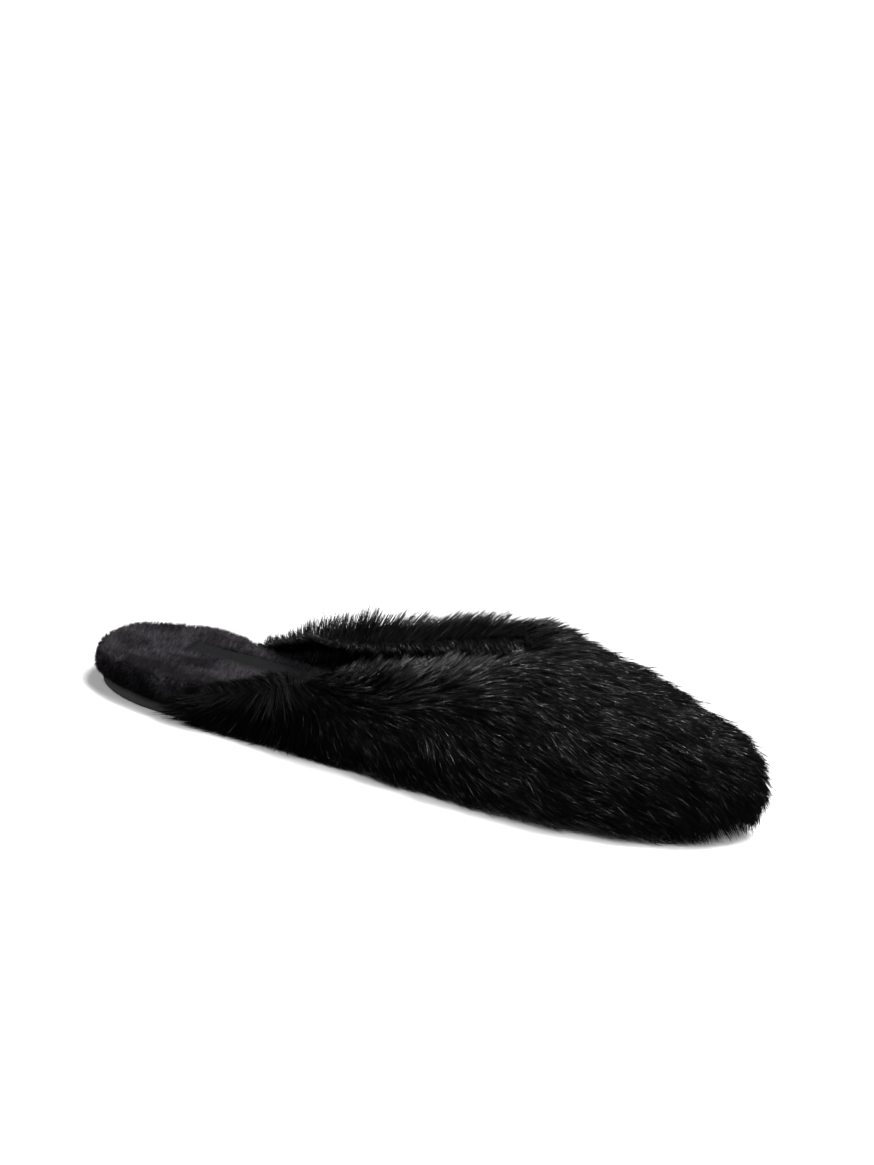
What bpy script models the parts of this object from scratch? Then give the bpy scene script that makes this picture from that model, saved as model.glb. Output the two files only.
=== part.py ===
"""Faux fur mule slipper for the right foot, standing flat and empty on its own sole.

The model runs from the heel at low X to the toe at high X, with the inner (medial) side of the
foot at +Y and the floor at Z = 0. Its origin lies on the underside of the sole, below the middle
of the heel. All sizes below are in millimetres, and the meshes are written in metres.
"""

import math
import random

import bmesh
import bpy
from mathutils import Vector

MM = 0.001

# Outsole
SOLE_LENGTH = 240.0
BALL_WIDTH = 71.0
HEEL_WIDTH = 58.0
SOLE_THICKNESS = 4.6
SOLE_EDGE_ROUND = 1.2
SOLE_TOP_CHAMFER = 0.4
HEEL_BEVEL_RISE = 0.8
HEEL_BEVEL_LENGTH = 9.0
ARCH_START = 64.0
ARCH_END = 124.0
ARCH_RISE = 0.6
SPRING_START = 184.0
TOE_SPRING = 5.0

# Tread: one deep cross groove behind the waist, then narrow ribs up to the toe
HEEL_GROOVE_X = 59.0
HEEL_GROOVE_WIDTH = 2.4
HEEL_GROOVE_DEPTH = 1.5
RIB_PITCH = 4.6
RIB_GROOVE_WIDTH = 1.6
RIB_GROOVE_DEPTH = 1.0
GROOVE_DRAFT = 0.25
RIB_TOE_MARGIN = 6.0
DISC_X = 85.0
DISC_Y = -4.8
DISC_DIAMETER = 23.0
DISC_MOAT = 1.1
DISC_RECESS = 0.1

# Footbed
CLEARANCE = 0.3
BED_HEEL_THICKNESS = 8.8
BED_TOE_THICKNESS = 6.0
BED_CUP_DEPTH = 1.5
BED_OVERHANG = 2.5
BED_LOWER_ROUND = 0.9
BED_UPPER_ROUND = 3.0

# Upper
COLLAR_BACK = 48.0
THROAT = 156.0
VAMP_TURN = 185.0
RIDGE_END = 223.0
INSTEP_HEIGHT = 43.4
WALL = 2.5
HEM_LAP = 0.8
BULGE = 1.5
LATERAL_FULLNESS = 2.2
MEDIAL_FULLNESS = 2.5
RIDGE_SIDE = 0.54

# Fur locks fused on the upper
LOCK_PITCH = 4.7
LOCK_RISE = 5.0
LOCK_LEAN = 7.5
LOCK_VARIATION = 0.16
LOCK_FLOOR_CLEARANCE = 1.0
THROAT_CROWDING = 1.25

# Woven label on the footbed
LABEL_LENGTH = 44.5
LABEL_WIDTH = 9.8
LABEL_THICKNESS = 0.5
LABEL_X = 48.0
LABEL_Y = 9.0
LABEL_TURN = -3.4

# The origin lies this far in front of the heel's end
HEEL_REST_X = 35.0

# Sole outline: share of the length, lateral and medial reach as shares of the local width
OUTLINE = (
    (0.000, 0.000, 0.000),
    (0.003, 0.121, 0.138),
    (0.015, 0.241, 0.250),
    (0.036, 0.336, 0.345),
    (0.066, 0.422, 0.431),
    (0.100, 0.474, 0.483),
    (0.140, 0.500, 0.497),
    (0.200, 0.517, 0.466),
    (0.280, 0.514, 0.357),
    (0.360, 0.492, 0.269),
    (0.440, 0.481, 0.244),
    (0.520, 0.507, 0.310),
    (0.600, 0.542, 0.408),
    (0.680, 0.563, 0.437),
    (0.750, 0.561, 0.430),
    (0.800, 0.528, 0.406),
    (0.850, 0.472, 0.352),
    (0.900, 0.394, 0.282),
    (0.940, 0.310, 0.218),
    (0.970, 0.225, 0.155),
    (0.990, 0.127, 0.070),
    (1.000, 0.014, -0.014),
)

# Height of the upper's top line: share of the sole's length, share of the instep height
RIDGE = (
    (0.20, 1.046),
    (0.50, 1.044),
    (0.60, 1.025),
    (0.65, 1.000),
    (0.70, 0.972),
    (0.75, 0.922),
    (0.80, 0.846),
    (0.833, 0.779),
    (0.875, 0.700),
    (0.917, 0.608),
    (0.95, 0.530),
)

# Collar rim: share of the way from its back to the throat, share of the section's height
COLLAR = (
    (0.000, 0.155),
    (0.110, 0.244),
    (0.296, 0.420),
    (0.480, 0.575),
    (0.667, 0.710),
    (0.850, 0.840),
    (0.944, 0.930),
    (1.000, 1.000),
)

LATERAL = -1
MEDIAL = 1


def smoothstep(low, high, value):
    """Returns 0 below low, 1 above high, and a soft step between."""
    share = min(1.0, max(0.0, (value - low) / (high - low)))
    return share * share * (3.0 - 2.0 * share)


def curve(table, column, value):
    """Reads one column of a table at a value of its first column, as a smooth curve."""
    rows = len(table)
    at = 0
    while at < rows - 2 and value > table[at + 1][0]:
        at += 1
    x0, x1 = table[at][0], table[at + 1][0]
    y0, y1 = table[at][column], table[at + 1][column]
    middle = (y1 - y0) / (x1 - x0)
    slope0 = slope1 = middle
    if at > 0:
        slope0 = (y1 - table[at - 1][column]) / (x1 - table[at - 1][0])
    if at < rows - 2:
        slope1 = (table[at + 2][column] - y0) / (table[at + 2][0] - x0)
    u = min(1.0, max(0.0, (value - x0) / (x1 - x0)))
    span = x1 - x0
    return (
        y0 * (1 + 2 * u) * (1 - u) ** 2
        + slope0 * span * u * (1 - u) ** 2
        + y1 * u * u * (3 - 2 * u)
        + slope1 * span * u * u * (u - 1)
    )


def turn_of(share):
    """Turns a share of the length into the angle share that keeps both round ends smooth."""
    return math.acos(1.0 - 2.0 * min(1.0, max(0.0, share))) / math.pi


TURNED_OUTLINE = tuple((turn_of(row[0]), row[1], row[2]) for row in OUTLINE)


def length_at(turn):
    """X of the outline at an angle share."""
    return SOLE_LENGTH * (1.0 - math.cos(math.pi * turn)) / 2.0


def reach(turn, side):
    """Y of the outline at an angle share, on one side."""
    share = length_at(turn) / SOLE_LENGTH
    width = HEEL_WIDTH + (BALL_WIDTH - HEEL_WIDTH) * smoothstep(0.2, 0.5, share)
    return side * width * curve(TURNED_OUTLINE, 1 if side == LATERAL else 2, turn)


def outline_point(turn, side, outward=0.0):
    """A point of the outline, moved outward square to it."""
    step = 0.002
    before = max(0.0, turn - step)
    after = min(1.0, turn + step)
    along = Vector((length_at(after) - length_at(before), reach(after, side) - reach(before, side)))
    along.normalize()
    normal = Vector((-along.y, along.x)) * side
    return Vector((length_at(turn), reach(turn, side))) + normal * outward


def sole_bottom(x):
    """Height of the tread's walking surface over the floor."""
    heel = max(0.0, 1.0 - x / HEEL_BEVEL_LENGTH) ** 2 * HEEL_BEVEL_RISE
    toe = max(0.0, (x - SPRING_START) / (SOLE_LENGTH - SPRING_START)) ** 2 * TOE_SPRING
    waist = 0.0
    if ARCH_START < x < ARCH_END:
        waist = math.sin(math.pi * (x - ARCH_START) / (ARCH_END - ARCH_START)) ** 2 * ARCH_RISE
    return heel + toe + waist


def sole_top(x):
    """Height of the outsole's upper face. The heel's bevel is on the tread side only."""
    heel = max(0.0, 1.0 - x / HEEL_BEVEL_LENGTH) ** 2 * HEEL_BEVEL_RISE
    return sole_bottom(x) - heel + SOLE_THICKNESS


def new_object(name, mesh, material, parent):
    """Puts a finished mesh in the scene as one named sub-part."""
    item = bpy.data.objects.new(name, mesh)
    bpy.context.scene.collection.objects.link(item)
    item.parent = parent
    if material is not None:
        mesh.materials.append(material)
    return item


def mesh_from(name, points, faces):
    """Makes a closed mesh from points in millimetres, with its faces turned out."""
    build = bmesh.new()
    verts = [build.verts.new(Vector(point) * MM) for point in points]
    for face in faces:
        build.faces.new([verts[index] for index in face])
    bmesh.ops.recalc_face_normals(build, faces=build.faces)
    mesh = bpy.data.meshes.new(name)
    build.to_mesh(mesh)
    build.free()
    return mesh


def make_material(name, colour, roughness, sheen=0.0):
    """A Principled material in one colour."""
    material = bpy.data.materials.new(name)
    material.use_nodes = True
    shader = material.node_tree.nodes["Principled BSDF"]
    shader.inputs["Base Color"].default_value = (*colour, 1.0)
    shader.inputs["Roughness"].default_value = roughness
    shader.inputs["Metallic"].default_value = 0.0
    shader.inputs["Sheen Weight"].default_value = sheen
    return material


def groove_stations():
    """X and groove depth of every corner of the cross groove and of the grooves between ribs."""
    grooves = [(HEEL_GROOVE_X, HEEL_GROOVE_WIDTH, HEEL_GROOVE_DEPTH)]
    centre = HEEL_GROOVE_X + HEEL_GROOVE_WIDTH / 2 + RIB_PITCH - RIB_GROOVE_WIDTH / 2
    while centre < SOLE_LENGTH - RIB_TOE_MARGIN:
        grooves.append((centre, RIB_GROOVE_WIDTH, RIB_GROOVE_DEPTH))
        centre += RIB_PITCH
    stations = []
    for centre, width, depth in grooves:
        mouth = width / 2
        floor = mouth - GROOVE_DRAFT
        stations += [
            (centre - mouth, 0.0),
            (centre - floor, depth),
            (centre + floor, depth),
            (centre + mouth, 0.0),
        ]
    return stations


def outsole_stations():
    """All stations of the outsole, with the smooth stretches filled in between the grooves."""
    stations = groove_stations()
    first = stations[0][0]
    last = stations[-1][0]
    ends = 26
    for count in range(ends + 1):
        x = length_at(0.012 + (0.988 - 0.012) * count / ends)
        if x < first - 1.0 or x > last + 0.6:
            stations.append((x, 0.0))
    return sorted(stations)


def make_outsole(material, parent):
    """Lofts the outsole over its stations, then sets the bare disc into the tread."""
    levels = (
        (SOLE_EDGE_ROUND, 0.0),
        (SOLE_EDGE_ROUND * 0.3, SOLE_EDGE_ROUND * 0.3),
        (0.0, SOLE_EDGE_ROUND),
        (0.0, None),
        (SOLE_TOP_CHAMFER, None),
    )
    points = []
    stations = outsole_stations()
    for x, depth in stations:
        turn = turn_of(x / SOLE_LENGTH)
        low = sole_bottom(x)
        high = sole_top(x)
        for side in (LATERAL, MEDIAL):
            for number, (inset, rise) in enumerate(levels):
                along = SOLE_LENGTH / 2 + (x - SOLE_LENGTH / 2) * (1 - 2 * inset / SOLE_LENGTH)
                across = reach(turn, side) * (1 - 2 * inset / BALL_WIDTH)
                if number == 0:
                    height = low + depth
                elif number == 3:
                    height = high - SOLE_TOP_CHAMFER
                elif number == 4:
                    height = high
                else:
                    height = low + max(rise, depth * 1.05 * (number == 1))
                points.append((along, across, height))
    count = len(levels)
    faces = []
    for row in range(len(stations) - 1):
        here = row * 2 * count
        there = here + 2 * count
        for level in range(count - 1):
            for start in (0, count):
                low = start + level
                faces.append((here + low, there + low, there + low + 1, here + low + 1))
        faces.append((here, there, there + count, here + count))
        top = count - 1
        faces.append((here + top, there + top, there + count + top, here + count + top))
    for here in (0, (len(stations) - 1) * 2 * count):
        for level in range(count - 1):
            faces.append((here + level, here + level + 1, here + count + level + 1, here + count + level))
    mesh = mesh_from("outsole", points, faces)
    outsole = new_object("outsole", mesh, material, parent)
    base = sole_bottom(DISC_X)
    moat = make_disc("disc_moat_cutter", DISC_DIAMETER / 2 + DISC_MOAT, -2.0, base + RIB_GROOVE_DEPTH)
    boss = make_disc("disc_boss", DISC_DIAMETER / 2, base + DISC_RECESS, base + SOLE_THICKNESS / 2)
    for tool, operation in ((moat, "DIFFERENCE"), (boss, "UNION")):
        tool.parent = parent
        tool.hide_render = True
        tool.display_type = "WIRE"
        modifier = outsole.modifiers.new(tool.name, "BOOLEAN")
        modifier.operation = operation
        modifier.object = tool
    return outsole


def make_disc(name, radius, low, high):
    """A plain upright disc at the place of the bare disc in the tread."""
    build = bmesh.new()
    bmesh.ops.create_cone(
        build,
        cap_ends=True,
        segments=48,
        radius1=radius * MM,
        radius2=radius * MM,
        depth=(high - low) * MM,
    )
    bmesh.ops.translate(build, verts=build.verts, vec=Vector((0.0, 0.0, (low + high) / 2 * MM)))
    mesh = bpy.data.meshes.new(name)
    build.to_mesh(mesh)
    build.free()
    item = new_object(name, mesh, None, None)
    item.location = Vector((DISC_X, DISC_Y, 0.0)) * MM
    return item


def bed_edge(turn, side, inset):
    """A point of the footbed's edge: outside the sole at the heel, inside the upper ahead of it."""
    inside = WALL - HEM_LAP + CLEARANCE + 0.1
    x = length_at(turn)
    change = smoothstep(COLLAR_BACK - 13.0, COLLAR_BACK - 2.0, x)
    outward = BED_OVERHANG * (1 - change) - inside * change
    return outline_point(turn, side, outward - inset)


def bed_thickness(x):
    """Thickness of the footbed's rim along the foot."""
    front = smoothstep(0.28, 0.66, x / SOLE_LENGTH)
    return BED_HEEL_THICKNESS + (BED_TOE_THICKNESS - BED_HEEL_THICKNESS) * front


def bed_rim(x):
    """Height of the footbed's upper edge."""
    return sole_top(x) + CLEARANCE + bed_thickness(x)


def bed_cup(x):
    """Depth of the hollow along the middle of the footbed, which runs out at the toe."""
    ends = smoothstep(0.0, 0.08, x / SOLE_LENGTH) * (1 - smoothstep(0.72, 0.95, x / SOLE_LENGTH))
    return BED_CUP_DEPTH * ends


def bed_top(x, y):
    """Height of the footbed's upper face at a place inside its edge."""
    turn = turn_of(x / SOLE_LENGTH)
    left = bed_edge(turn, LATERAL, BED_UPPER_ROUND).y
    right = bed_edge(turn, MEDIAL, BED_UPPER_ROUND).y
    across = min(1.0, abs((2 * y - left - right) / (right - left)))
    return bed_rim(x) - bed_cup(x) * (1 - across * across)


def make_footbed(material, parent):
    """Lofts the soft footbed, with rounded edges and a shallow hollow for the foot."""
    count = 38
    inner = (0.12, 0.3, 0.5, 0.7, 0.88)
    rings = []
    points = []
    for row in range(count + 1):
        turn = 0.02 + (0.975 - 0.02) * row / count
        x = length_at(turn)
        low = sole_top(x) + CLEARANCE
        high = bed_rim(x)
        levels = (
            (BED_LOWER_ROUND, low),
            (0.0, low + BED_LOWER_ROUND * 1.3),
            (0.0, high - BED_UPPER_ROUND),
            (BED_UPPER_ROUND * 0.3, high - BED_UPPER_ROUND * 0.3),
            (BED_UPPER_ROUND, high),
        )
        left = [(*bed_edge(turn, LATERAL, inset), z) for inset, z in levels]
        right = [(*bed_edge(turn, MEDIAL, inset), z) for inset, z in levels]
        middle = []
        if 0 < row < count:
            start = Vector(left[-1])
            end = Vector(right[-1])
            for share in inner:
                spot = start.lerp(end, share)
                spot.z = high - bed_cup(x) * (1 - (2 * share - 1) ** 2)
                middle.append(tuple(spot))
        first = len(points)
        ring = left + middle + right[::-1]
        points += ring
        rings.append(list(range(first, first + len(ring))))
    faces = []
    sides = 5
    for here, there in zip(rings, rings[1:]):
        for step in range(sides - 1):
            faces.append((here[step], there[step], there[step + 1], here[step + 1]))
            faces.append((here[-1 - step], there[-1 - step], there[-2 - step], here[-2 - step]))
        faces.append((here[0], there[0], there[-1], here[-1]))
        top_here = here[sides - 1 : len(here) - sides + 1]
        top_there = there[sides - 1 : len(there) - sides + 1]
        if len(top_here) == len(top_there):
            for step in range(len(top_here) - 1):
                faces.append((top_here[step], top_there[step], top_there[step + 1], top_here[step + 1]))
        else:
            faces.append(tuple(top_here + top_there[::-1]))
    for ring in (rings[0], rings[-1]):
        for step in range(sides - 1):
            faces.append((ring[step], ring[step + 1], ring[-2 - step], ring[-1 - step]))
    return new_object("footbed", mesh_from("footbed", points, faces), material, parent)


def make_label(material, parent):
    """A thin bare strip that follows the footbed's hollow."""
    along = 10
    across = 3
    turn = math.radians(LABEL_TURN)
    points = []
    for lift in (CLEARANCE, CLEARANCE + LABEL_THICKNESS):
        for row in range(along + 1):
            for column in range(across + 1):
                u = LABEL_LENGTH * (row / along - 0.5)
                v = LABEL_WIDTH * (column / across - 0.5)
                x = LABEL_X + u * math.cos(turn) - v * math.sin(turn)
                y = LABEL_Y + u * math.sin(turn) + v * math.cos(turn)
                points.append((x, y, bed_top(x, y) + lift))
    width = across + 1
    layer = width * (along + 1)
    faces = []
    for base in (0, layer):
        for row in range(along):
            for column in range(across):
                corner = base + row * width + column
                faces.append((corner, corner + 1, corner + width + 1, corner + width))
    rim = [row * width for row in range(along + 1)]
    rim += [along * width + column for column in range(1, width)]
    rim += [row * width + across for row in range(along - 1, -1, -1)]
    rim += [column for column in range(across - 1, 0, -1)]
    for here, there in zip(rim, rim[1:] + rim[:1]):
        faces.append((here, there, there + layer, here + layer))
    return new_object("footbed_label", mesh_from("footbed_label", points, faces), material, parent)


def ridge_place(turn):
    """X on the upper's top line that the section at this angle share rises to."""
    x = length_at(turn)
    if x <= VAMP_TURN:
        return x
    start = turn_of(VAMP_TURN / SOLE_LENGTH)
    share = (turn - start) / (1.0 - start)
    return VAMP_TURN + (RIDGE_END - VAMP_TURN) * (1 - (1 - share) ** 1.5)


def section(turn, side):
    """Points of one outer section of the upper, from the hem up to the collar or the top line."""
    hem = outline_point(turn, side, HEM_LAP)
    hem_height = sole_top(hem.x) + CLEARANCE
    x = ridge_place(turn)
    ridge_turn = turn_of(x / SOLE_LENGTH)
    lateral = reach(ridge_turn, LATERAL)
    medial = reach(ridge_turn, MEDIAL)
    ridge = Vector((x, lateral + (medial - lateral) * RIDGE_SIDE))
    ridge_height = SOLE_THICKNESS + INSTEP_HEIGHT * curve(RIDGE, 1, x / SOLE_LENGTH)
    centre_turn = smoothstep(0.94, 1.0, turn)
    fullness = MEDIAL_FULLNESS if side == MEDIAL else LATERAL_FULLNESS
    fullness += ((MEDIAL_FULLNESS + LATERAL_FULLNESS) / 2 - fullness) * centre_turn
    power = 2.0 / fullness
    end = math.pi / 2
    if x < THROAT - 0.001:
        share = curve(COLLAR, 1, (x - COLLAR_BACK) / (THROAT - COLLAR_BACK))
        end = math.asin(min(1.0, max(0.02, share)) ** (1.0 / power))
    spread = hem - ridge
    samples = 60
    dense = []
    for number in range(samples + 1):
        angle = end * number / samples
        out = max(0.0, math.cos(angle)) ** power + BULGE / spread.length * math.sin(2 * angle)
        spot = ridge + spread * out
        height = hem_height + (ridge_height - hem_height) * math.sin(angle) ** power
        dense.append(Vector((spot.x, spot.y, height)))
    lengths = [0.0]
    for here, there in zip(dense, dense[1:]):
        lengths.append(lengths[-1] + (there - here).length)
    rows = max(2, round(lengths[-1] / LOCK_PITCH))
    points = []
    at = 0
    for row in range(rows + 1):
        target = lengths[-1] * row / rows
        while at < samples - 1 and lengths[at + 1] < target:
            at += 1
        share = (target - lengths[at]) / (lengths[at + 1] - lengths[at])
        points.append(dense[at].lerp(dense[at + 1], share))
    return points


def hem_turns(side):
    """Angle shares of the upper's sections, evenly spaced along the hem, one at the throat."""
    back = turn_of(COLLAR_BACK / SOLE_LENGTH)
    throat = turn_of(THROAT / SOLE_LENGTH)
    turns = []
    for start, end in ((back, throat), (throat, 1.0)):
        samples = 200
        steps = [start + (end - start) * number / samples for number in range(samples + 1)]
        spots = [outline_point(turn, side, HEM_LAP) for turn in steps]
        lengths = [0.0]
        for here, there in zip(spots, spots[1:]):
            lengths.append(lengths[-1] + (there - here).length)
        columns = round(lengths[-1] / LOCK_PITCH)
        crowding = 1.0 if end == 1.0 else THROAT_CROWDING
        at = 0
        for column in range(columns + (end == 1.0)):
            target = lengths[-1] * (1.0 - (1.0 - column / columns) ** crowding)
            while at < samples - 1 and lengths[at + 1] < target:
                at += 1
            share = (target - lengths[at]) / (lengths[at + 1] - lengths[at])
            turns.append(steps[at] + (steps[at + 1] - steps[at]) * share)
    turns[-1] = 1.0
    return turns, throat


def flow_at(x, height_share, toe_share, at_collar):
    """How the fur lies: its part along the foot and its part down towards the hem."""
    if at_collar:
        return 0.45, -0.75
    hang = 1.0 - smoothstep(62.0, 105.0, x)
    along = 0.92 * (1 - hang) + 0.1 * hang
    down = 0.45 * (1 - hang) + 0.95 * hang
    crown = smoothstep(0.55, 1.0, height_share) * smoothstep(THROAT, THROAT + 25.0, x)
    down *= 1 - 0.8 * crown
    along = along * (1 - toe_share) + 0.25 * toe_share
    down = down * (1 - toe_share) + 0.9 * toe_share
    return along, down


def make_upper(material, parent):
    """Builds the hollow upper and fuses its fur locks on the outer face."""
    rng = random.Random(7)
    points = []
    sides = {}
    shared = {}
    for side in (LATERAL, MEDIAL):
        turns, throat = hem_turns(side)
        columns = []
        for number, turn in enumerate(turns):
            places = section(turn, side)
            indices = []
            for row, place in enumerate(places):
                last = row == len(places) - 1
                key = None
                if number == len(turns) - 1:
                    key = ("toe", row)
                elif last and turn >= throat - 1e-9:
                    key = ("ridge", len(turns) - number)
                if key is not None and key in shared:
                    indices.append(shared[key])
                    continue
                points.append(place)
                indices.append(len(points) - 1)
                if key is not None:
                    shared[key] = len(points) - 1
            columns.append(indices)
        sides[side] = (turns, throat, columns)
    faces = []
    for side, (turns, throat, columns) in sides.items():
        for number, (here, there) in enumerate(zip(columns, columns[1:])):
            middle = (turns[number] + turns[number + 1]) / 2
            common = min(len(here), len(there)) - 1
            strip = []
            for row in range(common):
                strip.append((here[row], there[row], there[row + 1], here[row + 1]))
            for row in range(common, len(there) - 1):
                strip.append((here[common], there[row], there[row + 1]))
            for row in range(common, len(here) - 1):
                strip.append((here[row], there[common], here[row + 1]))
            for corners in strip:
                if side == MEDIAL:
                    corners = corners[::-1]
                faces.append((corners, side, middle, middle < throat, (here, there)))
    points, inner_faces, rim_faces, locks = close_shell(points, faces, rng)
    mesh = mesh_from("upper", points, locks + inner_faces + rim_faces)
    return new_object("upper", mesh, material, parent)


def close_shell(points, faces, rng):
    """Adds the inner face, the rims and the locks to the upper's outer face."""
    normals = [Vector((0.0, 0.0, 0.0)) for _ in points]
    for corners, _, _, _, _ in faces:
        spots = [points[index] for index in corners]
        normal = (spots[2] - spots[0]).cross(spots[-1] - spots[1])
        for index in corners:
            normals[index] += normal
    edges = {}
    for corners, _, _, _, _ in faces:
        for here, there in zip(corners, corners[1:] + corners[:1]):
            edges[(here, there)] = True
    rims = [(here, there) for here, there in edges if (there, here) not in edges]
    middle_height = sum(point.z for point in points) / len(points)
    outward = sum(normals[index].z for index in range(len(points)) if points[index].z > middle_height)
    sign = 1.0 if outward > 0 else -1.0
    normals = [normal.normalized() * sign for normal in normals]
    hem_rows = set()
    back_rows = set()
    for here, there in rims:
        for index in (here, there):
            if points[index].z < sole_top(points[index].x) + CLEARANCE + 0.01:
                hem_rows.add(index)
            if points[index].x < COLLAR_BACK + 1.5:
                back_rows.add(index)
    count = len(points)
    inner = []
    for index, point in enumerate(points):
        spot = point - normals[index] * WALL
        if index in hem_rows:
            spot.z = point.z
        if index in back_rows:
            spot.x = point.x
        inner.append(spot)
    inner_faces = [tuple(index + count for index in corners[::-1]) for corners, _, _, _, _ in faces]
    rim_faces = [(there, here, here + count, there + count) for here, there in rims]
    everything = list(points) + inner
    locks = []
    for corners, side, turn, open_top, columns in faces:
        spots = [points[index] for index in corners]
        centre = sum(spots, Vector((0.0, 0.0, 0.0))) / len(spots)
        normal = (spots[2] - spots[0]).cross(spots[-1] - spots[1]).normalized() * sign
        here, there = columns
        ahead = (points[there[0]] - points[here[0]]).normalized()
        up = normal.cross(ahead).normalized()
        if up.z < 0:
            up = -up
        ahead = (ahead - normal * ahead.dot(normal)).normalized()
        tall = max(len(here), len(there)) - 1
        level = max(
            (column.index(index) for column in columns for index in corners if index in column),
            default=0,
        )
        at_collar = open_top and level >= tall
        along, down = flow_at(centre.x, level / tall, smoothstep(0.86, 1.0, turn), at_collar)
        size = min((spots[1] - spots[0]).length, (spots[-1] - spots[0]).length) / LOCK_PITCH
        size = min(1.0, max(0.35, size * 1.25))
        change = 1.0 + LOCK_VARIATION * rng.uniform(-1.0, 1.0)
        lean = (ahead * (along + 0.12 * rng.uniform(-1, 1)) - up * (down + 0.12 * rng.uniform(-1, 1)))
        tip = centre + (normal * LOCK_RISE + lean * LOCK_LEAN) * size * change
        low = LOCK_FLOOR_CLEARANCE + rng.uniform(0.0, 0.8)
        if tip.z < low:
            tip.z = low
        everything.append(tip)
        for start, end in zip(corners, corners[1:] + corners[:1]):
            locks.append((start, end, len(everything) - 1))
    return everything, inner_faces, rim_faces, locks


def main():
    """Clears the scene and builds the four sub-parts under one parent."""
    for item in list(bpy.data.objects):
        bpy.data.objects.remove(item, do_unlink=True)
    frame = bpy.data.objects.new("slipper", None)
    bpy.context.scene.collection.objects.link(frame)
    frame.location = Vector((-HEEL_REST_X, 0.0, 0.0)) * MM
    rubber = make_material("charcoal_rubber", (0.030, 0.030, 0.033), 0.7)
    plush = make_material("black_plush", (0.016, 0.016, 0.018), 0.9, 0.4)
    fur = make_material("black_faux_fur", (0.008, 0.008, 0.009), 0.45, 0.3)
    satin = make_material("black_satin_label", (0.010, 0.010, 0.012), 0.4)
    make_outsole(rubber, frame)
    make_footbed(plush, frame)
    make_upper(fur, frame)
    make_label(satin, frame)
    for item in bpy.data.objects:
        if item.type == "MESH" and item.name in ("outsole", "footbed", "footbed_label"):
            item.data.shade_smooth()
            item.data.set_sharp_from_angle(angle=math.radians(35.0))
    bpy.context.view_layer.update()


main()
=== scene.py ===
"""Looks of the faux fur mule slipper for the right foot.

The slipper runs from its heel to its toe along +X, its inner side is at +Y and it stands on Z = 0.
Forms are worked out in millimetres from the back end of the heel, and written in metres in the
row's own frame.
"""

import logging
import math
from dataclasses import dataclass, field
from enum import Enum

import bpy
import numpy as np
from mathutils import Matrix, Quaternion, Vector


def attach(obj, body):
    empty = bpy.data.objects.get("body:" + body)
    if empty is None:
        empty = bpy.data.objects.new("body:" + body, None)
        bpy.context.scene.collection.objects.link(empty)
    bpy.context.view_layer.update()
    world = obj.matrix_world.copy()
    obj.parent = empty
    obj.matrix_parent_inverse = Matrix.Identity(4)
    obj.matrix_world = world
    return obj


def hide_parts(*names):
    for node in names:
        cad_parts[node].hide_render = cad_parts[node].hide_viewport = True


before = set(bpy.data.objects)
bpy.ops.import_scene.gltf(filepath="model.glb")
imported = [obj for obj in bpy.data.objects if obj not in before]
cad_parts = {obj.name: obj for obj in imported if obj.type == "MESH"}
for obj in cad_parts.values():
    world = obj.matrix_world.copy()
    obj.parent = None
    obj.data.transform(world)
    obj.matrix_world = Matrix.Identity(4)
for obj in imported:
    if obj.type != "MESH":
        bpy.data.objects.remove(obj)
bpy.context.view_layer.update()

LOG = logging.getLogger("slipper")
Array = np.ndarray
TONE = "tone"


class Side(Enum):
    """The two halves of the slipper, with the sign of Y on each."""

    LATERAL = -1
    MEDIAL = 1


class PileKind(Enum):
    """How a strand is made: the number of rings along it."""

    LONG = 3
    FUR = 2
    SHORT = 1


def smoothstep(low: float, high: float, value: Array) -> Array:
    """Steps softly from 0 at low to 1 at high.

    Args:
        low: Value where the step starts; it may be above high for a falling step.
        high: Value where the step ends.
        value: Values to read.

    Returns:
        Shares from 0 to 1.
    """
    share = np.clip((np.asarray(value, float) - low) / (high - low), 0.0, 1.0)
    return share * share * (3.0 - 2.0 * share)


def unit(vectors: Array) -> Array:
    """Scales rows of vectors to length one."""
    return vectors / np.maximum(np.linalg.norm(vectors, axis=-1, keepdims=True), 1e-9)


def curve(table: tuple, column: int, value: Array) -> Array:
    """Reads a column of a table at values of its first column, as a smooth curve.

    Args:
        table: Rows of numbers with a rising first column.
        column: The column to read.
        value: Values of the first column.

    Returns:
        The column's values there.
    """
    rows = np.array(table, float)
    x = rows[:, 0]
    y = rows[:, column]
    value = np.clip(np.asarray(value, float), x[0], x[-1])
    at = np.clip(np.searchsorted(x, value, side="right") - 1, 0, len(x) - 2)
    slope = np.empty(len(x))
    slope[1:-1] = (y[2:] - y[:-2]) / (x[2:] - x[:-2])
    slope[0] = (y[1] - y[0]) / (x[1] - x[0])
    slope[-1] = (y[-1] - y[-2]) / (x[-1] - x[-2])
    span = x[at + 1] - x[at]
    u = (value - x[at]) / span
    return (
        y[at] * (1 + 2 * u) * (1 - u) ** 2
        + slope[at] * span * u * (1 - u) ** 2
        + y[at + 1] * u * u * (3 - 2 * u)
        + slope[at + 1] * span * u * u * (u - 1)
    )


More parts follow.
